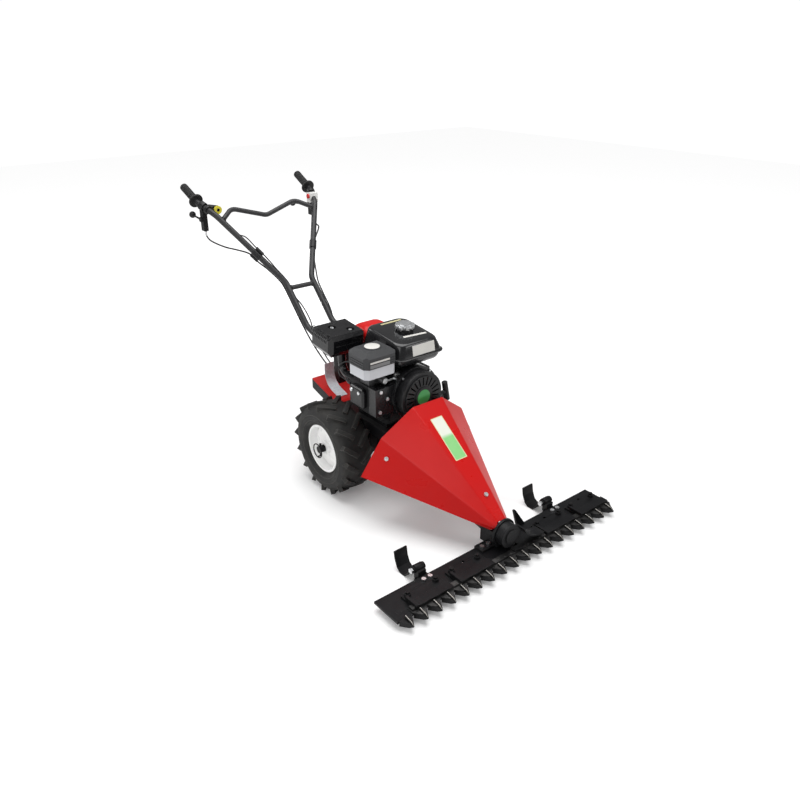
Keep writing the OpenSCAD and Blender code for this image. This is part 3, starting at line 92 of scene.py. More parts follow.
class Finish:
    """A paint, metal, rubber or plastic: one material with a Principled shader."""

    def __init__(self, name, **plain):
        self.material = bpy.data.materials.new(name)
        self.material.use_nodes = True
        self.tree = self.material.node_tree
        self.tree.nodes.clear()
        self.shader = self.tree.nodes.new("ShaderNodeBsdfPrincipled")
        output = self.tree.nodes.new("ShaderNodeOutputMaterial")
        self.tree.links.new(self.shader.outputs[0], output.inputs["Surface"])
        for socket, value in plain.items():
            self.shader.inputs[socket.replace("_", " ")].default_value = value

    def node(self, kind, settings=None, inputs=None, out=0):
        made = self.tree.nodes.new(kind)
        for key, value in (settings or {}).items():
            setattr(made, key, value)
        for key, value in (inputs or {}).items():
            if isinstance(value, Wire):
                self.tree.links.new(value.socket, made.inputs[key])
            else:
                made.inputs[key].default_value = value
        return Wire(self, made.outputs[out])

    def place(self):
        return self.node("ShaderNodeTexCoord", out="Object")

    def axis(self, name):
        return self.node("ShaderNodeSeparateXYZ", inputs={0: self.place()}, out=name)

    def specks(self, size, detail=3.0, stretch=(1, 1, 1)):
        """Noise with grains of that size in metres, drawn out along an axis by stretch."""
        spread = tuple(1 / (size * s) for s in stretch)
        where = self.node("ShaderNodeMapping", inputs={0: self.place(), "Scale": spread})
        return self.node("ShaderNodeTexNoise", inputs={"Vector": where, "Scale": 1.0, "Detail": detail})

    def mix(self, factor, first, second):
        def colour(c):
            return c if isinstance(c, Wire) else (*c, 1)

        return self.node(
            "ShaderNodeMix", {"data_type": "RGBA"}, {0: factor, 6: colour(first), 7: colour(second)}, out=2
        )

    def sharpen(self, wire, low, high):
        return self.node("ShaderNodeMapRange", None, {0: wire, 1: low, 2: high})

    def edges(self, radius):
        """1 along the corners of a piece and 0 on its flats: it marks worn paint, and on some finishes a
        painted highlight.
        """
        on_flat, on_corner = 0.99, 0.86
        rounded = self.node("ShaderNodeBevel", {"samples": 6}, {"Radius": radius})
        facing = self.node("ShaderNodeNewGeometry", out="Normal")
        match = self.node(
            "ShaderNodeVectorMath", {"operation": "DOT_PRODUCT"}, {0: rounded, 1: facing}, out="Value"
        )
        return self.sharpen(match, on_flat, on_corner)

    def feed(self, socket, wire):
        self.tree.links.new(wire.socket, self.shader.inputs[socket])

    def rough(self, height, depth):
        """A relief of that depth in metres."""
        relief = self.node("ShaderNodeBump", None, {"Height": height, "Distance": depth, "Strength": 1.0})
        self.feed("Normal", relief)


def coating(name, colour, worn, gloss, grain, relief, edge_wear_and_glint=None, **plain):
    """Paint or powder coat: a mottled colour, an uneven gloss, a fine orange peel and lighter corners, which
    are rubbed paint on worn parts and a painted glint on the engine.
    """
    cloud_size, patch_size, edge_width, grain_share = 0.08, 0.012, 0.0012, 0.25
    made = Finish(name, **plain)
    cloud = made.specks(cloud_size, 5)
    fine = made.specks(grain, 2)
    tone = made.mix(made.sharpen(cloud + grain_share * fine, 0.35, 0.95), colour, worn)
    # The corners get a lighter colour: worn paint on the cutter parts and the knife drive, a painted
    # highlight on the engine.
    if edge_wear_and_glint:
        patchy = made.sharpen(made.specks(patch_size, 3), 0.4, 0.6)
        tone = made.mix(made.edges(edge_width) * patchy, tone, edge_wear_and_glint)
    made.feed("Base Color", tone)
    made.feed("Roughness", gloss[0] + (gloss[1] - gloss[0]) * made.sharpen(cloud, 0.3, 0.7))
    made.rough(fine, relief)
    return made.material


def dress(material, *nodes):
    """Gives solids of the frame a finish."""
    for name in nodes:
        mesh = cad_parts[name].data
        mesh.materials.clear()
        mesh.materials.append(material)


def soften(width, *nodes):
    """Breaks the sharp edges of a solid, as paint, casting or pressing does."""
    same_point, sharp_from = 0.00001, math.radians(32)
    for name in nodes:
        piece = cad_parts[name]
        weld = piece.modifiers.new("joined", "WELD")
        weld.merge_threshold = same_point
        edge = piece.modifiers.new("edges", "BEVEL")
        edge.width = width
        edge.segments = 2
        edge.limit_method = "ANGLE"
        edge.angle_limit = sharp_from
        edge.harden_normals = True


bar_coat = coating(
    "bar_coat", (0.005, 0.005, 0.006), (0.011, 0.011, 0.012), (0.30, 0.46), 0.0016, 0.00022,
    edge_wear_and_glint=(0.06, 0.058, 0.055), Specular_IOR_Level=0.16,
)
dress(bar_coat, "bar_plate", "bar_bolts")
soften(0.0008, "bar_plate")

# Guard fingers: drop-forged steel points bolted under the bar's front edge, painted black.
# The crop has rubbed the paint off the ridge of each one, so a bright line runs along its top.

tip_y = cad_box[0][1]
finger_pitch = 0.0508
finger_count = 18


def spot(x, y, z):
    """A point given in millimetres: x from the middle, y back from the finger tips, z up."""
    return Vector((x / 1000, tip_y + y / 1000, z / 1000))


def link(name, mesh, material=None):
    piece = bpy.data.objects.new(name, mesh)
    bpy.context.scene.collection.objects.link(piece)
    if material:
        mesh.materials.clear()
        mesh.materials.append(material)
    return piece


def shell(name, corners, faces, smooth=False, crisp=40):
    """A mesh from points and faces, turned outwards; folds over crisp degrees stay sharp."""
    same_point = 1e-7
    mesh = bpy.data.meshes.new(name)
    mesh.from_pydata([tuple(c) for c in corners], [], faces)
    form = bmesh.new()
    form.from_mesh(mesh)
    bmesh.ops.remove_doubles(form, verts=form.verts, dist=same_point)
    bmesh.ops.recalc_face_normals(form, faces=form.faces)
    form.to_mesh(mesh)
    form.free()
    for face in mesh.polygons:
        face.use_smooth = smooth
    if smooth:
        mesh.set_sharp_from_angle(angle=math.radians(crisp))
    return mesh


def row_tree():
    """Sets a pattern out in a row: Start, Step and Count."""
    tree = bpy.data.node_groups.new("row", "GeometryNodeTree")
    for name, kind in (
        ("Pattern", "NodeSocketObject"), ("Count", "NodeSocketInt"), ("Start", "NodeSocketVector"),
        ("Step", "NodeSocketVector"), ("Finish", "NodeSocketMaterial"),
    ):
        tree.interface.new_socket(name, in_out="INPUT", socket_type=kind)
    tree.interface.new_socket("Geometry", in_out="OUTPUT", socket_type="NodeSocketGeometry")
    add = tree.nodes.new
    source, out = add("NodeGroupInput"), add("NodeGroupOutput")
    index = add("GeometryNodeInputIndex")
    reach, place = add("ShaderNodeVectorMath"), add("ShaderNodeVectorMath")
    points, info = add("GeometryNodePoints"), add("GeometryNodeObjectInfo")
    spread, whole = add("GeometryNodeInstanceOnPoints"), add("GeometryNodeRealizeInstances")
    paint = add("GeometryNodeSetMaterial")
    reach.operation = "SCALE"
    for a, b in (
        (source.outputs["Step"], reach.inputs[0]), (index.outputs[0], reach.inputs["Scale"]),
        (reach.outputs[0], place.inputs[0]), (source.outputs["Start"], place.inputs[1]),
        (source.outputs["Count"], points.inputs["Count"]), (place.outputs[0], points.inputs["Position"]),
        (source.outputs["Pattern"], info.inputs["Object"]), (points.outputs[0], spread.inputs["Points"]),
        (info.outputs["Geometry"], spread.inputs["Instance"]), (spread.outputs[0], whole.inputs[0]),
        (whole.outputs[0], paint.inputs["Geometry"]), (source.outputs["Finish"], paint.inputs["Material"]),
        (paint.outputs[0], out.inputs[0]),
    ):
        tree.links.new(a, b)
    return tree


def grown(name, tree, material, **values):
    """Runs a Geometry Nodes tree and keeps its result as a plain mesh."""
    holder = link(name + "_seed", bpy.data.meshes.new(name + "_seed"))
    run = holder.modifiers.new("run", "NODES")
    run.node_group = tree
    values["Finish"] = material
    for item in tree.interface.items_tree:
        if item.in_out == "INPUT" and item.name in values:
            run[item.identifier] = values[item.name]
    view = bpy.context.evaluated_depsgraph_get()
    mesh = bpy.data.meshes.new_from_object(holder.evaluated_get(view))
    mesh.name = name
    holder.modifiers.remove(run)
    bpy.data.objects.remove(holder)
    return link(name, mesh, material)


def swept(path, width, height, drop):
    """A low half-round bead along points of a side view, standing height above them."""
    sides = 6
    corners, faces = [], []
    for y, z, taper in path:
        for k in range(sides + 1):
            turn = math.pi * k / sides
            corners.append(Vector((
                width / 2 * taper * math.cos(turn), y, z - drop + (height + drop) * math.sin(turn)
            )))
    ring = sides + 1
    for i in range(len(path) - 1):
        for k in range(ring):
            n = (k + 1) % ring
            faces.append([i * ring + k, i * ring + n, (i + 1) * ring + n, (i + 1) * ring + k])
    last = (len(path) - 1) * ring
    faces += [list(range(ring)), [last + k for k in range(ring)]]
    return corners, faces


forged = coating(
    "forged_black", (0.006, 0.006, 0.007), (0.014, 0.014, 0.014), (0.32, 0.52), 0.0022, 0.0004,
    edge_wear_and_glint=(0.08, 0.078, 0.074), Specular_IOR_Level=0.2,
)
dress(forged, "fingers", "knife_head")
soften(0.0007, "fingers", "knife_head")

worn = Finish("worn_steel", Metallic=1.0)
scuffs = worn.specks(0.003, 4, (1, 4, 1))
bare = worn.sharpen(scuffs, 0.35, 0.7)
worn.feed("Base Color", worn.mix(bare, (0.30, 0.285, 0.26), (0.52, 0.50, 0.465)))
worn.feed("Roughness", 0.38 + 0.3 * scuffs)
worn.rough(scuffs, 0.0002)
ridge_path = [
    (0.0004, 0.0271, 0.35), (0.004, 0.0300, 0.7), (0.0098, 0.0344, 1.0), (0.018, 0.0358, 1.0),
    (0.028, 0.0374, 0.95), (0.0365, 0.0388, 0.8),
]
ridge_width, ridge_height, ridge_sink = 0.0040, 0.0005, 0.0012
ridge = link("ridge", shell(
    "ridge", *swept(ridge_path, ridge_width, ridge_height, ridge_sink), smooth=True
))
row = row_tree()
ridges = grown(
    "finger_ridges", row, worn.material, Pattern=ridge, Count=finger_count,
    Start=(-(finger_count - 1) / 2 * finger_pitch, tip_y, 0), Step=(finger_pitch, 0, 0),
)
bpy.data.objects.remove(ridge)
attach(ridges, "chassis")

# Knife: ground steel sections riveted to a flat back, which slides to and fro in the fingers.
# The sections keep a dark mill skin with fine grinding lines across their bevels.

ground = Finish("ground_steel", Metallic=0.9)
lines = ground.specks(0.0012, 3, (1, 14, 1))
stain = ground.specks(0.03, 4)
stained = ground.sharpen(stain, 0.35, 0.7)
ground.feed("Base Color", ground.mix(stained, (0.03, 0.03, 0.031), (0.09, 0.088, 0.086)))
ground.feed("Roughness", 0.32 + 0.25 * lines)
ground.rough(lines, 0.00015)
dress(ground.material, "knife_sections", "knife_back", "rocker")


def lathe(name, profile, start, towards, sides=32, ring=False):
    """A turned piece: (radius, height) points spun about the axis from start; a ring has no end discs."""
    axis = Vector(towards).normalized()
    across = axis.orthogonal().normalized()
    other = axis.cross(across)
    corners, faces = [], []
    for radius, height in profile:
        for k in range(sides):
            turn = 2 * math.pi * k / sides
            corners.append(
                Vector(start) + axis * height + radius * (across * math.cos(turn) + other * math.sin(turn))
            )
    count = len(profile)
    for i in range(count if ring else count - 1):
        a, b = i * sides, (i + 1) % count * sides
        for k in range(sides):
            n = (k + 1) % sides
            faces.append([a + k, a + n, b + n, b + k])
    if not ring:
        faces += [list(range(sides)), [(count - 1) * sides + k for k in range(sides)]]
    return shell(name, corners, faces, smooth=True)


rivet_profile = [(0.0034, -0.0005), (0.0034, 0.0004), (0.0028, 0.0014), (0.0014, 0.002), (0.0002, 0.0021)]
rivet = link("rivet", lathe("rivet", rivet_profile, (0, 0, 0), (0, 0, 1), 12))
knife_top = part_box("knife_back")[1].z
rivet_aside, rivet_back = 0.0125, 0.0465
for side, shift in (("right", -rivet_aside), ("left", rivet_aside)):
    rivets = grown(
        "knife_rivets_" + side, row, ground.material, Pattern=rivet, Count=finger_count - 1,
        Start=(-(finger_count - 3) / 2 * finger_pitch + shift, tip_y + rivet_back, knife_top),
        Step=(finger_pitch, 0, 0),
    )
    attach(rivets, "knife")
bpy.data.objects.remove(rivet)

# Hold-down plates, skid brackets and skids: bent and cut steel, powder coated like the bar.
# They are held with zinc-plated hexagon bolts that have stayed bright.

dress(bar_coat, "hold_downs", "skid_brackets", "skid_right", "skid_left", "saddle_guard", "deflector_finger")
soften(0.001, "hold_downs", "skid_brackets", "skid_right", "skid_left", "saddle_guard", "deflector_finger")

plated = Finish("zinc_plate", Metallic=1.0)
bloom = plated.specks(0.006, 4)
bloomed = plated.sharpen(bloom, 0.35, 0.7)
plated.feed("Base Color", plated.mix(bloomed, (0.60, 0.61, 0.62), (0.84, 0.85, 0.86)))
plated.feed("Roughness", 0.22 + 0.25 * bloom)
plated.rough(plated.specks(0.001, 2), 0.00008)
dress(plated.material, "zinc_bolts", "hood_bolts", "engine_bolts", "choke_lever")
soften(0.0007, "zinc_bolts", "hood_bolts", "engine_bolts", "choke_lever")

# Knife drive: a cast iron case with a round barrel, painted black over the sand-cast skin.
# The drive tube behind it is welded steel pipe in the bar's coating, as are the frame rails.

cast = coating(
    "cast_black", (0.005, 0.005, 0.006), (0.012, 0.012, 0.013), (0.36, 0.54), 0.003, 0.0007,
    edge_wear_and_glint=(0.04, 0.04, 0.04), Specular_IOR_Level=0.2,
)
dress(cast, "front_housing", "gearbox")
soften(0.0016, "front_housing", "gearbox")
dress(bar_coat, "drive_tube", "frame", "handle_bracket")
soften(0.0012, "frame", "handle_bracket")

# Hood: one sheet of steel folded into five facets with a turned-in nose, sprayed gloss red.
# It is bolted on at the nose and on each side; the folds are bent round a small radius.

red = coating(
    "hood_red", (0.57, 0.008, 0.007), (0.52, 0.007, 0.007), (0.26, 0.34), 0.0012, 0.00005,
    Coat_Weight=0.06, Coat_Roughness=0.1, Specular_IOR_Level=0.22,
)


def facet(a, b, c):
    """The way a facet through three points faces."""
    across = (b - a).cross(c - a).normalized()
    return -across if across.x < 0 else across


def on_facet(point, across, x, y):
    """The point of a facet that lies above x and y."""
    return Vector((x, y, point.z - (across.x * (x - point.x) + across.y * (y - point.y)) / across.z))


rear_low, rear_mid, rear_top = Vector((238, 505, 175)), Vector((174, 480, 305)), Vector((62, 459, 388))
nose_top, nose_low = Vector((15, 104, 123)), Vector((28, 123, 88))
nose_mid = on_facet(rear_top, facet(rear_top, nose_top, rear_mid), 30, 109)
low_front = on_facet(rear_mid, facet(rear_mid, nose_mid, rear_low), 64, 164)
half_hood = [rear_low, rear_mid, rear_top, nose_top, nose_mid, nose_low, low_front]
hood_corners = [spot(*p) for p in half_hood] + [spot(-p.x, p.y, p.z) for p in half_hood]
hood_faces = [
    [0, 1, 4, 6], [1, 2, 3, 4], [4, 5, 6], [7, 13, 11, 8], [8, 11, 10, 9], [11, 13, 12], [2, 9, 10, 3],
]
sheet_t, fold_r, fold_from = 0.0025, 0.0045, math.radians(5)
hood_mesh = shell("hood_sheet", hood_corners, hood_faces)
if hood_mesh.polygons[6].normal.z < 0:
    hood_mesh.flip_normals()
for panel in hood_mesh.polygons:
    panel.use_smooth = True
hood = link("hood_sheet", hood_mesh, red)
folds = hood.modifiers.new("folds", "BEVEL")
folds.width, folds.segments = fold_r, 4
folds.limit_method, folds.angle_limit = "ANGLE", fold_from
wall = hood.modifiers.new("wall", "SOLIDIFY")
wall.thickness, wall.offset, wall.use_even_offset = sheet_t, -1, True
flats = hood.modifiers.new("flats", "WEIGHTED_NORMAL")
flats.weight = 100
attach(hood, "chassis")
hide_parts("hood")


def plate(name, centre, along, upward, width, height, round_off, thickness, material, steps=6):
    """A thin sticker or badge with rounded corners, with its own UV map from 0 to 1."""
    u = Vector(along).normalized()
    v = Vector(upward).normalized()
    out = u.cross(v).normalized()
    outline = []
    for cx, cy, first in ((1, 1, 0), (-1, 1, 1), (-1, -1, 2), (1, -1, 3)):
        for k in range(steps + 1):
            turn = math.pi / 2 * (first + k / steps)
            outline.append((
                cx * (width / 2 - round_off) + round_off * math.cos(turn),
                cy * (height / 2 - round_off) + round_off * math.sin(turn),
            ))
    n = len(outline)
    corners = [Vector(centre) + u * a + v * b for a, b in outline]
    corners += [c + out * thickness for c in corners]
    faces = [list(range(n)), list(range(n, 2 * n))]
    faces += [[k, (k + 1) % n, n + (k + 1) % n, n + k] for k in range(n)]
    mesh = shell(name, corners, faces)
    layer = mesh.uv_layers.new(name="face")
    for loop in mesh.loops:
        arm = mesh.vertices[loop.vertex_index].co - Vector(centre)
        layer.data[loop.index].uv = (arm.dot(u) / width + 0.5, arm.dot(v) / height + 0.5)
    piece = link(name, mesh, material)
    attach(piece, "chassis")
    return piece


hood_label = Finish("hood_label", Roughness=0.3)
face = hood_label.node("ShaderNodeUVMap", {"uv_map": "face"})
up = hood_label.node("ShaderNodeSeparateXYZ", inputs={0: face}, out="Y")
side = hood_label.node("ShaderNodeSeparateXYZ", inputs={0: face}, out="X")
end_margin, side_margin = 0.018, 0.06
margin = (
    (up < end_margin) + (up > 1 - end_margin) + (side < side_margin) + (side > 1 - side_margin)
) > 0.5
field = hood_label.mix(hood_label.sharpen(up, 0.52, 0.6), (0.22, 0.62, 0.2), (0.80, 0.82, 0.74))
haze = hood_label.specks(0.02, 3)
field = hood_label.mix(0.25 * haze, field, (0.62, 0.72, 0.5))
hood_label.feed("Base Color", hood_label.mix(margin, field, (0.72, 0.68, 0.40)))
hood_slope = Vector((0, 355, 265)).normalized()
hood_normal = Vector((0, -265, 355)).normalized()
label_w, label_l, label_corner, label_t, label_gap = 0.048, 0.158, 0.002, 0.0002, 0.00005
label = plate(
    "hood_label", spot(-4.5, 348, 305.15) + hood_normal * label_gap, (1, 0, 0), hood_slope,
    label_w, label_l, label_corner, label_t, hood_label.material,
)

# Wheels: farm tyres with slanted lugs on pressed white rims, pinned to the axle by lynch pins.
# The rubber is matt black with moulded texture and a little dust in the tread.

rubber = Finish("tyre_rubber")
dust = rubber.specks(0.05, 5)
skin = rubber.specks(0.002, 4)
dusted = rubber.sharpen(dust, 0.4, 0.8)
tread = rubber.mix(dusted, (0.010, 0.010, 0.010), (0.034, 0.032, 0.029))
# The lug corners are painted a lighter grey as a highlight.
painted_lug_highlight = rubber.edges(0.004) * rubber.sharpen(skin, 0.3, 0.6)
rubber.feed("Base Color", rubber.mix(painted_lug_highlight, tread, (0.085, 0.081, 0.072)))
rubber.feed("Roughness", 0.62 + 0.2 * dust)
rubber.rough(skin, 0.0005)
dress(rubber.material, "tyre_right", "tyre_left")
soften(0.002, "tyre_right", "tyre_left")
white = coating(
    "rim_white", (0.95, 0.95, 0.945), (0.90, 0.895, 0.885), (0.22, 0.38), 0.0014, 0.00008,
    Coat_Weight=0.2,
)
dress(white, "rim_right", "rim_left")
soften(0.0012, "rim_right", "rim_left")
dress(bar_coat, "axle", "lynch_pins")


def gathered(name, meshes):
    """One mesh out of several."""
    joined = bmesh.new()
    for mesh in meshes:
        joined.from_mesh(mesh)
    whole = bpy.data.meshes.new(name)
    joined.to_mesh(whole)
    joined.free()
    return whole


axle_at, hub_out = spot(0, 752, 165), 0.178
hoop_section = ((-0.0018, -0.0012), (-0.0010, 0.0009), (0.0010, 0.0012), (0.0020, -0.0008))
for side, way in (("right", -1), ("left", 1)):
    hoops = []
    hub_at = axle_at + Vector((way * hub_out, 0, 0))
    for radius, out in ((0.106, 0.0591), (0.124, 0.0616)):
        profile = [(radius + outward, out + sideways) for outward, sideways in hoop_section]
        hoops.append(lathe("hoop", profile, hub_at, (way, 0, 0), 96, ring=True))
    hoop = link("tyre_hoops_" + side, gathered("tyre_hoops_" + side, hoops), rubber.material)
    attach(hoop, "wheelset")

# Engine bed: a folded steel plate bolted on the frame rails, sprayed red behind the engine's foot.
# Its front half is coloured black, where the hood and the engine cover it.

bed_red, bed_faded, bed_black = (0.55, 0.012, 0.010), (0.46, 0.012, 0.011), (0.006, 0.006, 0.007)
red_starts, red_full = 0.020, 0.023
bed = Finish("bed_paint", Specular_IOR_Level=0.25)
bed_cloud = bed.specks(0.08, 5)
behind = bed.sharpen(bed.axis("Y"), red_starts, red_full)
bed_rear = bed.mix(bed_cloud, bed_red, bed_faded)
bed.feed("Base Color", bed.mix(behind, bed_black, bed_rear))
bed.feed("Roughness", 0.30 + 0.16 * bed_cloud)
bed.rough(bed.specks(0.0012, 2), 0.00006)
dress(bed.material, "bed_plate")
soften(0.0016, "bed_plate")

# Engine: a black-painted single cylinder engine lying across the bed, with a finned barrel.
# Crankcase, blower housing and muffler carry a semi-gloss black baked on at the works.

# Its corners are painted a lighter grey as a highlight, standing in for the glints along its edges.
engine_black = coating(
    "engine_black", (0.004, 0.004, 0.005), (0.009, 0.009, 0.010), (0.18, 0.30), 0.0016, 0.00012,
    edge_wear_and_glint=(0.09, 0.09, 0.092), Coat_Weight=0.1, Specular_IOR_Level=0.36,
)
dress(engine_black, "crankcase", "head_cover", "fan_shroud", "muffler")
soften(0.003, "crankcase", "head_cover", "fan_shroud")
soften(0.004, "muffler")
dress(cast, "engine_cylinder")
soften(0.0012, "engine_cylinder")
alloy = Finish("raw_alloy", Metallic=0.85)
grit = alloy.specks(0.0025, 4)
gritty = alloy.sharpen(grit, 0.3, 0.7)
alloy.feed("Base Color", alloy.mix(gritty, (0.05, 0.05, 0.052), (0.14, 0.14, 0.145)))
alloy.feed("Roughness", 0.4 + 0.25 * grit)
alloy.rough(grit, 0.0003)
dress(alloy.material, "carburettor")
soften(0.0012, "carburettor")

# Louvres: a row of ribs pressed out of the muffler's guard along its outer upper edge.
# They are of the guard's own sheet, so they carry its paint and lean back with the muffler.

lean_angle = 6
rib_foot, rib_crest, rib_proud = 0.0021, 0.0013, 0.0012
rib_count, rib_pitch, rib_first = 11, 0.009, (0, 0.022, 0.076)
muffler_lean = Matrix.Rotation(math.radians(lean_angle), 3, "X")
rib_corners = []
for dx, dz in ((-0.0030, -0.016), (-0.0028, -0.006), (0.0030, 0.0012), (0.010, 0.0022)):
    for dy in (-rib_foot, rib_foot):
        rib_corners.append(muffler_lean @ Vector((dx, dy, dz)))
    for dy in (rib_crest, -rib_crest):
        rib_corners.append(muffler_lean @ Vector((dx - rib_proud, dy, dz + rib_proud)))
rib_faces = [[0, 1, 2, 3], [12, 13, 14, 15]]
for step in range(3):
    for k in range(4):
        n = (k + 1) % 4
        rib_faces.append([4 * step + k, 4 * step + n, 4 * step + 4 + n, 4 * step + 4 + k])
rib = link("rib", shell("rib", rib_corners, rib_faces, smooth=True, crisp=50))
ribs = grown(
    "muffler_ribs", row, engine_black, Pattern=rib, Count=rib_count,
    Start=spot(-175, 752, 485) + muffler_lean @ Vector(rib_first),
    Step=muffler_lean @ Vector((0, rib_pitch, 0)),
)
bpy.data.objects.remove(rib)
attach(ribs, "chassis")

# Fuel tank: two halves of sheet steel pressed with soft corners and joined at a rolled seam.
# It carries the filler neck and is sprayed a deep gloss black.


def pressed(name, rings, material, corner=8, rise=0, rise_from=0):
    """A pressing lofted through rounded rectangles: x, y, corner radius, height and share of the rise."""
    corners, faces = [], []
    for (x0, x1), (y0, y1), r, z, share in rings:
        arcs = ((x1 - r, y1 - r, 0), (x0 + r, y1 - r, 1), (x0 + r, y0 + r, 2), (x1 - r, y0 + r, 3))
        for cx, cy, first in arcs:
            for k in range(corner + 1):
                turn = math.pi / 2 * (first + k / corner)
                y = cy + r * math.sin(turn)
                corners.append(spot(cx + r * math.cos(turn), y, z + share * rise * (y - rise_from)))
    n = 4 * (corner + 1)
    for i in range(len(rings) - 1):
        for k in range(n):
            faces.append([i * n + k, i * n + (k + 1) % n, (i + 1) * n + (k + 1) % n, (i + 1) * n + k])
    faces += [list(range(n)), [(len(rings) - 1) * n + k for k in range(n)]]
    piece = link(name, shell(name, corners, faces, smooth=True, crisp=48), material)
    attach(piece, "chassis")
    return piece


def inset(box_x, box_y, steps):
    """Level rings inside a rectangle: how far in, corner radius and height."""
    return [((box_x[0] + d, box_x[1] - d), (box_y[0] + d, box_y[1] - d), r, z, 0) for d, r, z in steps]


tank_black = coating(
    "tank_black", (0.006, 0.006, 0.007), (0.012, 0.012, 0.013), (0.13, 0.22), 0.0016, 0.00006,
    Coat_Weight=0.3, Coat_Roughness=0.08, Specular_IOR_Level=0.42,
)
tank_x, tank_y = (-64, 124), (523, 733)
lean_x, lean_y = (6, -20), (8, -17)
rim_x, rim_y = (-67, 130), (518, 738)
top_front, top_rise = 531, 20 / 185
tank_rings = inset(tank_x, tank_y, [
    (30, 14, 490.2), (20, 18, 490.8), (14, 21, 493), (9, 24, 499), (5, 26, 507), (4, 27, 518),
])
tank_rings += inset(rim_x, rim_y, [
    (1.2, 29, 518.2), (0.2, 30, 519), (0, 30, 521), (0.2, 30, 523), (1.4, 29, 523.8),
])
for share, corner, height, tilt in (
    (0, 28, 524, 0), (0.02, 28, 526.5, 0), (0.78, 32, 562, 0.85), (1.0, 33, 566, 0.95), (1.4, 34, 568.8, 1),
    (2.2, 34, 570, 1), (3.6, 30, 570.3, 1), (5, 20, 570.4, 1),
):
    tank_rings.append((
        [edge + share * lean for edge, lean in zip(tank_x, lean_x)],
        [edge + share * lean for edge, lean in zip(tank_y, lean_y)], corner, height, tilt,
    ))
tank = pressed("tank_shell", tank_rings, tank_black, rise=top_rise, rise_from=top_front)
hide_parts("fuel_tank")
neck_profile = [(0.026, 0.0), (0.026, 0.0085), (0.0255, 0.0095), (0.024, 0.010), (0.001, 0.010)]
neck_foot = spot(38, 624, 578)
neck = link("filler_neck", lathe("filler_neck", neck_profile, neck_foot, (0, 0, 1), 48), tank_black)
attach(neck, "chassis")

# Belt guard: a deep drawn steel cover over the pulleys behind the engine.
# It stands on the bed, is screwed to it, and is sprayed in the hood's red.

guard_x, guard_y = (-24, 92), (758, 848)
guard = pressed("belt_cover", inset(guard_x, guard_y, [
    (0, 8, 270), (0, 8, 524), (1.5, 10, 535), (6, 14, 545), (13, 18, 551.5), (22, 20, 555), (33, 10, 556),
]), red)
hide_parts("belt_guard")

# Moulded engine parts: starter cover, pull handle and air cleaner are grained black plastic.
# The air cleaner's base is a silver moulding and the filler cap is plated sheet.

moulded = coating(
    "black_plastic", (0.006, 0.006, 0.007), (0.012, 0.012, 0.013), (0.32, 0.44), 0.0009, 0.0002,
    Specular_IOR_Level=0.32,
)
dress(moulded, "recoil_cover", "recoil_handle", "lever_perches", "lever_right", "lever_left", "button_body")
dress(moulded, "cable_bands")
soften(0.0014, "recoil_cover", "recoil_handle", "lever_perches", "lever_right", "lever_left", "button_body")
lid_grey = coating(
    "lid_plastic", (0.022, 0.023, 0.025), (0.034, 0.035, 0.038), (0.42, 0.55), 0.0008, 0.0002
)
dress(lid_grey, "air_cleaner_lid")
soften(0.0022, "air_cleaner_lid")
silver = coating(
    "silver_plastic", (0.60, 0.61, 0.64), (0.52, 0.53, 0.56), (0.28, 0.42), 0.001, 0.0001
)
dress(silver, "air_cleaner_base")
soften(0.002, "air_cleaner_base")
dress(plated.material, "fuel_cap")
soften(0.0015, "fuel_cap")

# Heat shield: a strip of galvanised sheet rolled up behind the cylinder and fixed on the bed.
# It keeps the exhaust's heat off the drive and has the dull bloom of hot zinc.

galvanised = Finish("galvanised_sheet", Metallic=0.15)
flakes = galvanised.node(
    "ShaderNodeTexVoronoi", None, {"Vector": galvanised.place(), "Scale": 160.0}, out="Color"
)
flake = galvanised.node("ShaderNodeSeparateXYZ", inputs={0: flakes}, out="X")
galvanised.feed("Base Color", galvanised.mix(flake, (0.52, 0.57, 0.61), (0.68, 0.73, 0.77)))
galvanised.feed("Roughness", 0.42 + 0.16 * flake)
galvanised.rough(galvanised.specks(0.004, 3), 0.0002)
dress(galvanised.material, "heat_shield")

# Spark plug boot: a moulded rubber sleeve on the end of the lead.
# It is pushed over the plug in the cylinder head and steps down to the lead behind it.

boot_profile = [
    (0.0035, 0.0), (0.0085, 0.0004), (0.0092, 0.002), (0.0092, 0.009), (0.0080, 0.0105), (0.0080, 0.019),
    (0.0070, 0.021), (0.0048, 0.027), (0.0042, 0.031), (0.0031, 0.0315),
]
plug_seat = spot(-150, 666.3, 425)
boot = link("plug_boot", lathe("plug_boot", boot_profile, plug_seat, (0, 1, 0), 32), moulded)
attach(boot, "chassis")

# Plain badges: fields of thin film in pale, grey, green and straw, without any print.
# They are stuck on the tank, the air cleaner's lid and the hub of the starter cover.

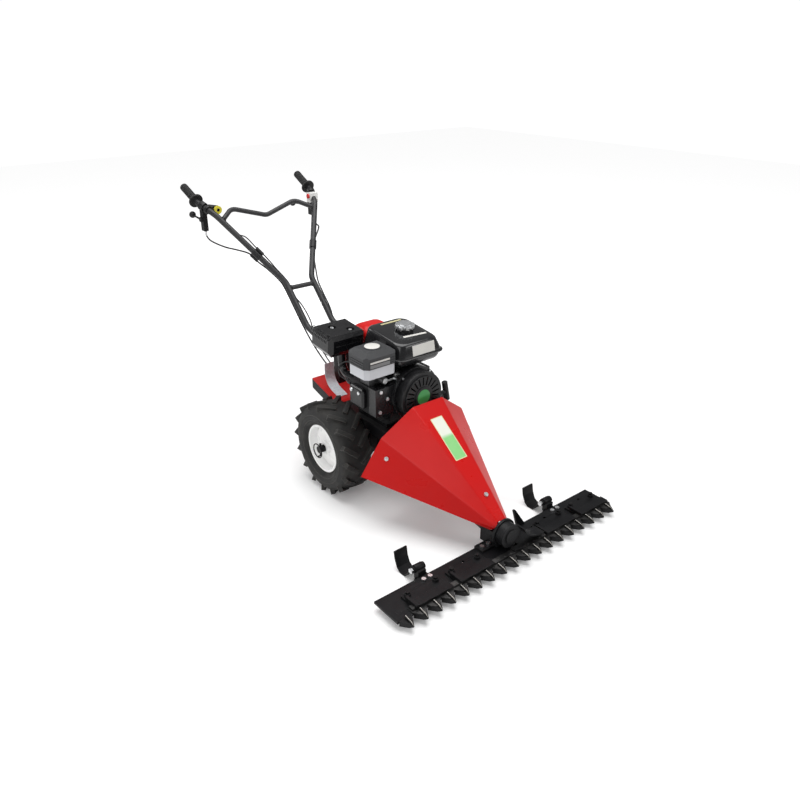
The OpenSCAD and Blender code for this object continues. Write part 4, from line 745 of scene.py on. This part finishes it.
pale = coating(
    "plain_badge", (0.70, 0.69, 0.65), (0.60, 0.59, 0.56), (0.3, 0.45), 0.0012, 0.00004
)
grey = coating(
    "plain_badge_grey", (0.16, 0.16, 0.165), (0.2, 0.2, 0.2), (0.35, 0.5), 0.0012, 0.00004
)
green = coating(
    "plain_badge_green", (0.05, 0.30, 0.07), (0.04, 0.24, 0.06), (0.3, 0.45), 0.0012, 0.00004
)
straw = coating(
    "plain_badge_straw", (0.56, 0.52, 0.28), (0.48, 0.45, 0.26), (0.3, 0.45), 0.0012, 0.00004
)
film_t, film_corner, film_gap = 0.0003, 0.0012, 0.00005
lid_low, lid_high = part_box("air_cleaner_lid")
lid_middle = (lid_low + lid_high) / 2
flat_disc = [(1.0, 0), (1.0, 0.0003), (0.985, 0.0005), (0.016, 0.0005)]
for name, radius, where, towards, look in (
    ("lid_badge", 0.025, Vector((lid_middle.x, lid_middle.y, lid_high.z)), (0, 0, 1), pale),
    ("starter_badge", 0.026, spot(4, 482, 396), (0, -1, 0), green),
):
    disc = link(name, lathe(name, [(radius * r, h) for r, h in flat_disc], where, towards, 48), look)
    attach(disc, "chassis")
face_up = Vector((0, 0.171, 1))
top_back = Vector((0, 1, top_rise))
strip_back = Vector((0.11, 1, top_rise))
for name, centre, along, upward, width, height, look in (
    ("tank_badge", spot(38, 526.1, 544.3), (1, 0, 0), face_up, 0.092, 0.0345, pale),
    ("tank_strip_front", spot(41, 575, 575.2), (1, -0.11, -0.012), strip_back, 0.088, 0.010, pale),
    ("tank_strip_rear", spot(33, 692, 587.7), (1, 0, 0), top_back, 0.084, 0.008, straw),
    ("lid_strip", spot(-143, 519.9, 548), (1, 0, 0), (0, 0, 1), 0.076, 0.006, pale),
    ("lid_grille", spot(-143, 519.9, 536), (1, 0, 0), (0, 0, 1), 0.076, 0.011, grey),
):
    out = Vector(along).normalized().cross(Vector(upward).normalized())
    badge = plate(name, centre + film_gap * out, along, upward, width, height, film_corner, film_t, look)

# Handlebar: two bent steel tubes with a straight cross tube and a waved brace welded between them.
# The tube is powder coated black; the weld beads show through the coat.

tube_coat = coating(
    "tube_coat", (0.016, 0.016, 0.017), (0.028, 0.028, 0.030), (0.34, 0.5), 0.0016, 0.0002,
    Specular_IOR_Level=0.4,
)
dress(tube_coat, "handle_right", "handle_left", "handle_braces")
tube_r, bead_r, bead_sides = 0.0098, 0.0019, 8
bead_turns = [2 * math.pi * k / bead_sides for k in range(bead_sides)]
bead_profile = [(tube_r + bead_r * math.cos(turn), bead_r * math.sin(turn)) for turn in bead_turns]
beads = []
for way in (-1, 1):
    for end, towards, set_back in (
        (Vector((56.9, 1202.8, 599.4)), Vector((-1, 0, 0)), 10.6),
        (Vector((203.3, 1407.8, 836.1)), Vector((-65.3, 47.2, 30.9)).normalized(), 11.6),
    ):
        seat = end + set_back * towards
        axis = (way * towards.x, towards.y, towards.z)
        beads.append(lathe("bead", bead_profile, spot(way * seat.x, seat.y, seat.z), axis, ring=True))
welds = link("weld_beads", gathered("weld_beads", beads), tube_coat)
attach(welds, "chassis")

# Grips: moulded rubber sleeves with a guard disc at the front and shallow rings for the hand.
# They are pushed over the tubes' ends and hold by their own tightness.

grip_rubber = Finish("grip_rubber", Specular_IOR_Level=0.3)
weave = grip_rubber.specks(0.0015, 3)
grip_rubber.feed("Base Color", grip_rubber.mix(weave, (0.008, 0.008, 0.008), (0.020, 0.020, 0.020)))
grip_rubber.feed("Roughness", 0.5 + 0.2 * weave)
grip_rubber.rough(weave, 0.0003)
sleeve = [(11.4, 0), (26, 0), (27, 1.4), (27, 6.4), (26, 8), (18.5, 8.6), (15.6, 11)]
ring_count, ring_pitch = 14, 6
for at in (ring_pitch * k for k in range(ring_count)):
    sleeve += [(15, at + 13.0), (15, at + 16.0), (14.2, at + 16.8), (14.2, at + 18.2)]
sleeve += [(15, 98), (14.6, 100.4), (12.5, 102), (8, 102.5), (0.4, 102.5)]
sleeve_profile = [(radius / 1000, along / 1000) for radius, along in sleeve]
sleeves = []
for way in (-1, 1):
    start, towards = spot(way * 246.42, 1518.2, 897.68), (way * 0.0465, 0.9113, 0.4091)
    sleeves.append(lathe("sleeve", sleeve_profile, start, towards, 40))
grips = link("grip_sleeves", gathered("grip_sleeves", sleeves), grip_rubber.material)
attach(grips, "chassis")
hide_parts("grips")

# Cables: sheathed control cables from the levers and the button down to the bed, the pale ignition wire
# and the spark lead. Each is one smooth tube along its route, held in the bands on the handlebar.

sheath = coating(
    "cable_sheath", (0.010, 0.010, 0.011), (0.018, 0.018, 0.019), (0.32, 0.45), 0.001, 0.0001,
    Specular_IOR_Level=0.4,
)


def hose(route, radius, sides=10, steps=6):
    """Corners and faces of a tube along a smoothed route, in millimetres."""
    line = []
    for i in range(len(route) - 1):
        a, b = Vector(route[max(i - 1, 0)]), Vector(route[i])
        c, d = Vector(route[i + 1]), Vector(route[min(i + 2, len(route) - 1)])
        for k in range(steps):
            t = k / steps
            line.append(0.5 * (
                2 * b + (c - a) * t + (2 * a - 5 * b + 4 * c - d) * t * t + (3 * b - 3 * c + d - a) * t ** 3
            ))
    line.append(Vector(route[-1]))
    corners, faces = [], []
    for i, here in enumerate(line):
        ahead = (line[min(i + 1, len(line) - 1)] - line[max(i - 1, 0)]).normalized()
        side = ahead.cross(Vector((1, 0.15, 0))).normalized()
        other = ahead.cross(side)
        for k in range(sides):
            turn = 2 * math.pi * k / sides
            corners.append(spot(*(here + radius * (side * math.cos(turn) + other * math.sin(turn)))))
    for i in range(len(line) - 1):
        for k in range(sides):
            n = (k + 1) % sides
            faces.append([i * sides + k, i * sides + n, (i + 1) * sides + n, (i + 1) * sides + k])
    faces += [list(range(sides)), [(len(line) - 1) * sides + k for k in range(sides)]]
    return corners, faces


clutch_route = [
    (-240, 1477, 792), (-240, 1477, 776), (-230, 1460, 756), (-200, 1414, 738), (-170, 1371, 730),
    (-141.8, 1329.7, 719), (-121.7, 1304.2, 689.2), (-99.6, 1280.2, 664.4), (-73.2, 1248.4, 626.8),
    (-65.1, 1223.2, 601.3), (-63.7, 1163.3, 539.4), (-63.3, 1111.2, 486.2), (-54, 1062, 424),
    (-42, 1022, 376), (-31, 982, 335), (-30, 975, 306.4),
]
button_route = [
    (-195, 1473, 855.2), (-195, 1473, 846), (-186, 1440, 826), (-160, 1385, 788), (-139, 1354, 777),
    (-125.9, 1309.5, 747), (-105.8, 1284, 717.2), (-89.7, 1276.4, 694.9), (-70.3, 1262.3, 663.3),
    (-49, 1236.8, 627.1), (-47.4, 1226.6, 606.3), (-50, 1218.3, 595.3), (-42, 1182, 566), (-36, 1155, 546),
    (-35, 1122, 522), (-34, 1097, 494), (-33, 1080, 458), (-28, 1015, 380), (-12, 985, 335), (-8, 978, 307.2),
]
drive_route = [
    (240, 1477, 792), (240, 1477, 776), (228, 1440, 762), (205, 1386, 762), (165, 1348, 738),
    (141.8, 1329.7, 719), (121.7, 1304.2, 689.2), (108, 1276, 660), (92, 1242, 632), (76, 1205, 602),
    (75, 1170, 562), (74, 1120, 506), (56, 1066, 430), (34, 1025, 380), (18, 985, 335), (16, 976, 306.7),
]
wire_route = [
    (45, 1136, 536), (28, 1118, 548), (0, 1092, 532), (-8, 1040, 512), (8, 960, 500), (22, 880, 484),
    (24, 858, 480), (24, 848.1, 480),
]
spark_route = [
    (-150, 666.1, 425), (-150, 700, 425), (-163, 716, 440), (-160, 726, 462), (-140, 728, 474),
    (-112, 716, 472), (-94, 704, 456), (-82, 700, 442), (-68.1, 700, 442),
]
white_plastic = coating(
    "switch_white", (0.78, 0.78, 0.76), (0.7, 0.7, 0.68), (0.3, 0.42), 0.001, 0.0001
)
cable_r, thin_cable_r, wire_r, lead_r = 3.0, 2.5, 1.2, 3.0
right_runs = ((clutch_route, cable_r), (button_route, thin_cable_r))
for name, runs, node, look, slot in (
    ("right_cable_run", right_runs, "right_cables", sheath, "cable_black"),
    ("left_cable_run", ((drive_route, cable_r),), "left_cable", sheath, "cable_black"),
    ("ignition_wire", ((wire_route, wire_r),), "stop_wire", white_plastic, "wire_white"),
    ("spark_lead_run", ((spark_route, lead_r),), "spark_lead", sheath, "cable_black"),
):
    tubes = [shell("tube", *hose(route, radius), smooth=True) for route, radius in runs]
    run = link(name, gathered(name, tubes), look)
    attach(run, "chassis")
    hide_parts(node)
ferrule_profile = [
    (0.0031, 0), (0.0036, 0.001), (0.0036, 0.011), (0.0042, 0.012), (0.0042, 0.0155), (0.003, 0.016),
]
ferrule_feet = (spot(-240, 1477, 776), spot(240, 1477, 776))
ferrules = [lathe("ferrule", ferrule_profile, foot, (0, 0, 1), 20) for foot in ferrule_feet]
ends = link("cable_ferrules", gathered("cable_ferrules", ferrules), plated.material)
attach(ends, "chassis")

# Buttons and switch: moulded plastic pieces clamped on the handlebar beside the grips.
# The safety button is yellow with a black disc painted in its middle as the shade of its centre hole; the
# white stop switch has a red button.

button_x, button_z, hole_shade_r = -0.195, 0.870, 0.0062
yellow = Finish("button_yellow")
off_x, off_z = yellow.axis("X") - button_x, yellow.axis("Z") - button_z
# A dark disc is painted in the button's middle as the shade of its centre hole.
hole_shade = off_x * off_x + off_z * off_z < hole_shade_r * hole_shade_r
tinge = yellow.specks(0.004, 3)
ring_yellow = yellow.mix(tinge, (0.74, 0.64, 0.03), (0.62, 0.54, 0.04))
yellow.feed("Base Color", yellow.mix(hole_shade, ring_yellow, (0.012, 0.012, 0.012)))
yellow.feed("Roughness", 0.3 + 0.14 * tinge)
yellow.rough(yellow.specks(0.001, 2), 0.0001)
dress(yellow.material, "safety_button")
soften(0.001, "safety_button")
dress(white_plastic, "switch_body")
soften(0.002, "switch_body")
stop_red = coating(
    "button_red", (0.60, 0.02, 0.02), (0.5, 0.02, 0.02), (0.28, 0.4), 0.001, 0.0001
)
dress(stop_red, "stop_button")
soften(0.001, "stop_button")

# Studio: a pale floor under soft overhead light, the whole machine in view from its front right.
# The floor and the world are lifted to white for the camera alone; the floor keeps the machine's shadow.

floor_reach, near_lift, far_lift = 9, 0.12, 0.6
floor_corners = [(floor_reach * x, floor_reach * y, 0) for x, y in ((-1, -1), (1, -1), (1, 1), (-1, 1))]
floor_mesh = bpy.data.meshes.new("floor")
floor_mesh.from_pydata(floor_corners, [], [(0, 1, 2, 3)])
floor_look = Finish("floor_white", Base_Color=(0.93, 0.93, 0.93, 1), Roughness=0.75)
floor_look.shader.inputs["Specular IOR Level"].default_value = 0.1
floor_look.shader.inputs["Emission Strength"].default_value = 1.0
away = floor_look.node(
    "ShaderNodeVectorMath", {"operation": "LENGTH"}, {0: floor_look.place()}, out="Value"
)
direct = floor_look.node("ShaderNodeLightPath", out="Is Camera Ray")
lift = direct * (near_lift + far_lift * floor_look.sharpen(away, 0.9, 2.2))
glow = floor_look.node("ShaderNodeCombineXYZ", None, {0: lift, 1: lift, 2: lift})
floor_look.feed("Emission Color", glow)
floor = link("floor", floor_mesh, floor_look.material)

sky_light, sky_seen = 0.26, 1.02
world = bpy.data.worlds.new("studio")
bpy.context.scene.world = world
world.use_nodes = True
sky = world.node_tree
background = sky.nodes["Background"]
background.inputs["Color"].default_value = (1, 1, 1, 1)
seen = sky.nodes.new("ShaderNodeLightPath")
level = sky.nodes.new("ShaderNodeMapRange")
level.inputs["To Min"].default_value = sky_light
level.inputs["To Max"].default_value = sky_seen
sky.links.new(seen.outputs["Is Camera Ray"], level.inputs[0])
sky.links.new(level.outputs[0], background.inputs["Strength"])


def lamp(name, place, target, size, power):
    """A soft rectangular light that hangs at a place and faces a target."""
    light = bpy.data.lights.new(name, "AREA")
    light.shape = "RECTANGLE"
    light.size, light.size_y = size
    light.energy = power
    piece = bpy.data.objects.new(name, light)
    bpy.context.scene.collection.objects.link(piece)
    piece.location = place
    piece.rotation_euler = (Vector(target) - Vector(place)).to_track_quat("-Z", "Y").to_euler()


lamp("overhead", (0.2, 0.1, 3.2), (0, 0, 0.2), (3.0, 3.0), 100)
lamp("front_right", (-2.6, -1.6, 2.2), (0, 0, 0.3), (1.8, 1.8), 20)
lamp("rear_right", (-1.3, 2.9, 2.1), (0, 0, 0.4), (1.4, 1.0), 22)
lamp("right_side", (-3.0, 0.3, 0.9), (0, 0, 0.25), (1.6, 1.0), 12)
lamp("front_left", (1.8, -3.0, 1.8), (0, -0.2, 0.3), (1.6, 1.6), 26)

look_down, look_round = 25.87, -38.6
camera_data = bpy.data.cameras.new("camera")
camera_data.sensor_width = 36
camera_data.lens = 33.0
camera_data.clip_end = 60
camera = bpy.data.objects.new("camera", camera_data)
bpy.context.scene.collection.objects.link(camera)
camera.location = spot(-1398, -1150, 1428)
camera.rotation_euler = (math.radians(90 - look_down), 0, math.radians(look_round))
bpy.context.scene.camera = camera
bpy.context.scene.view_settings.view_transform = "Standard"
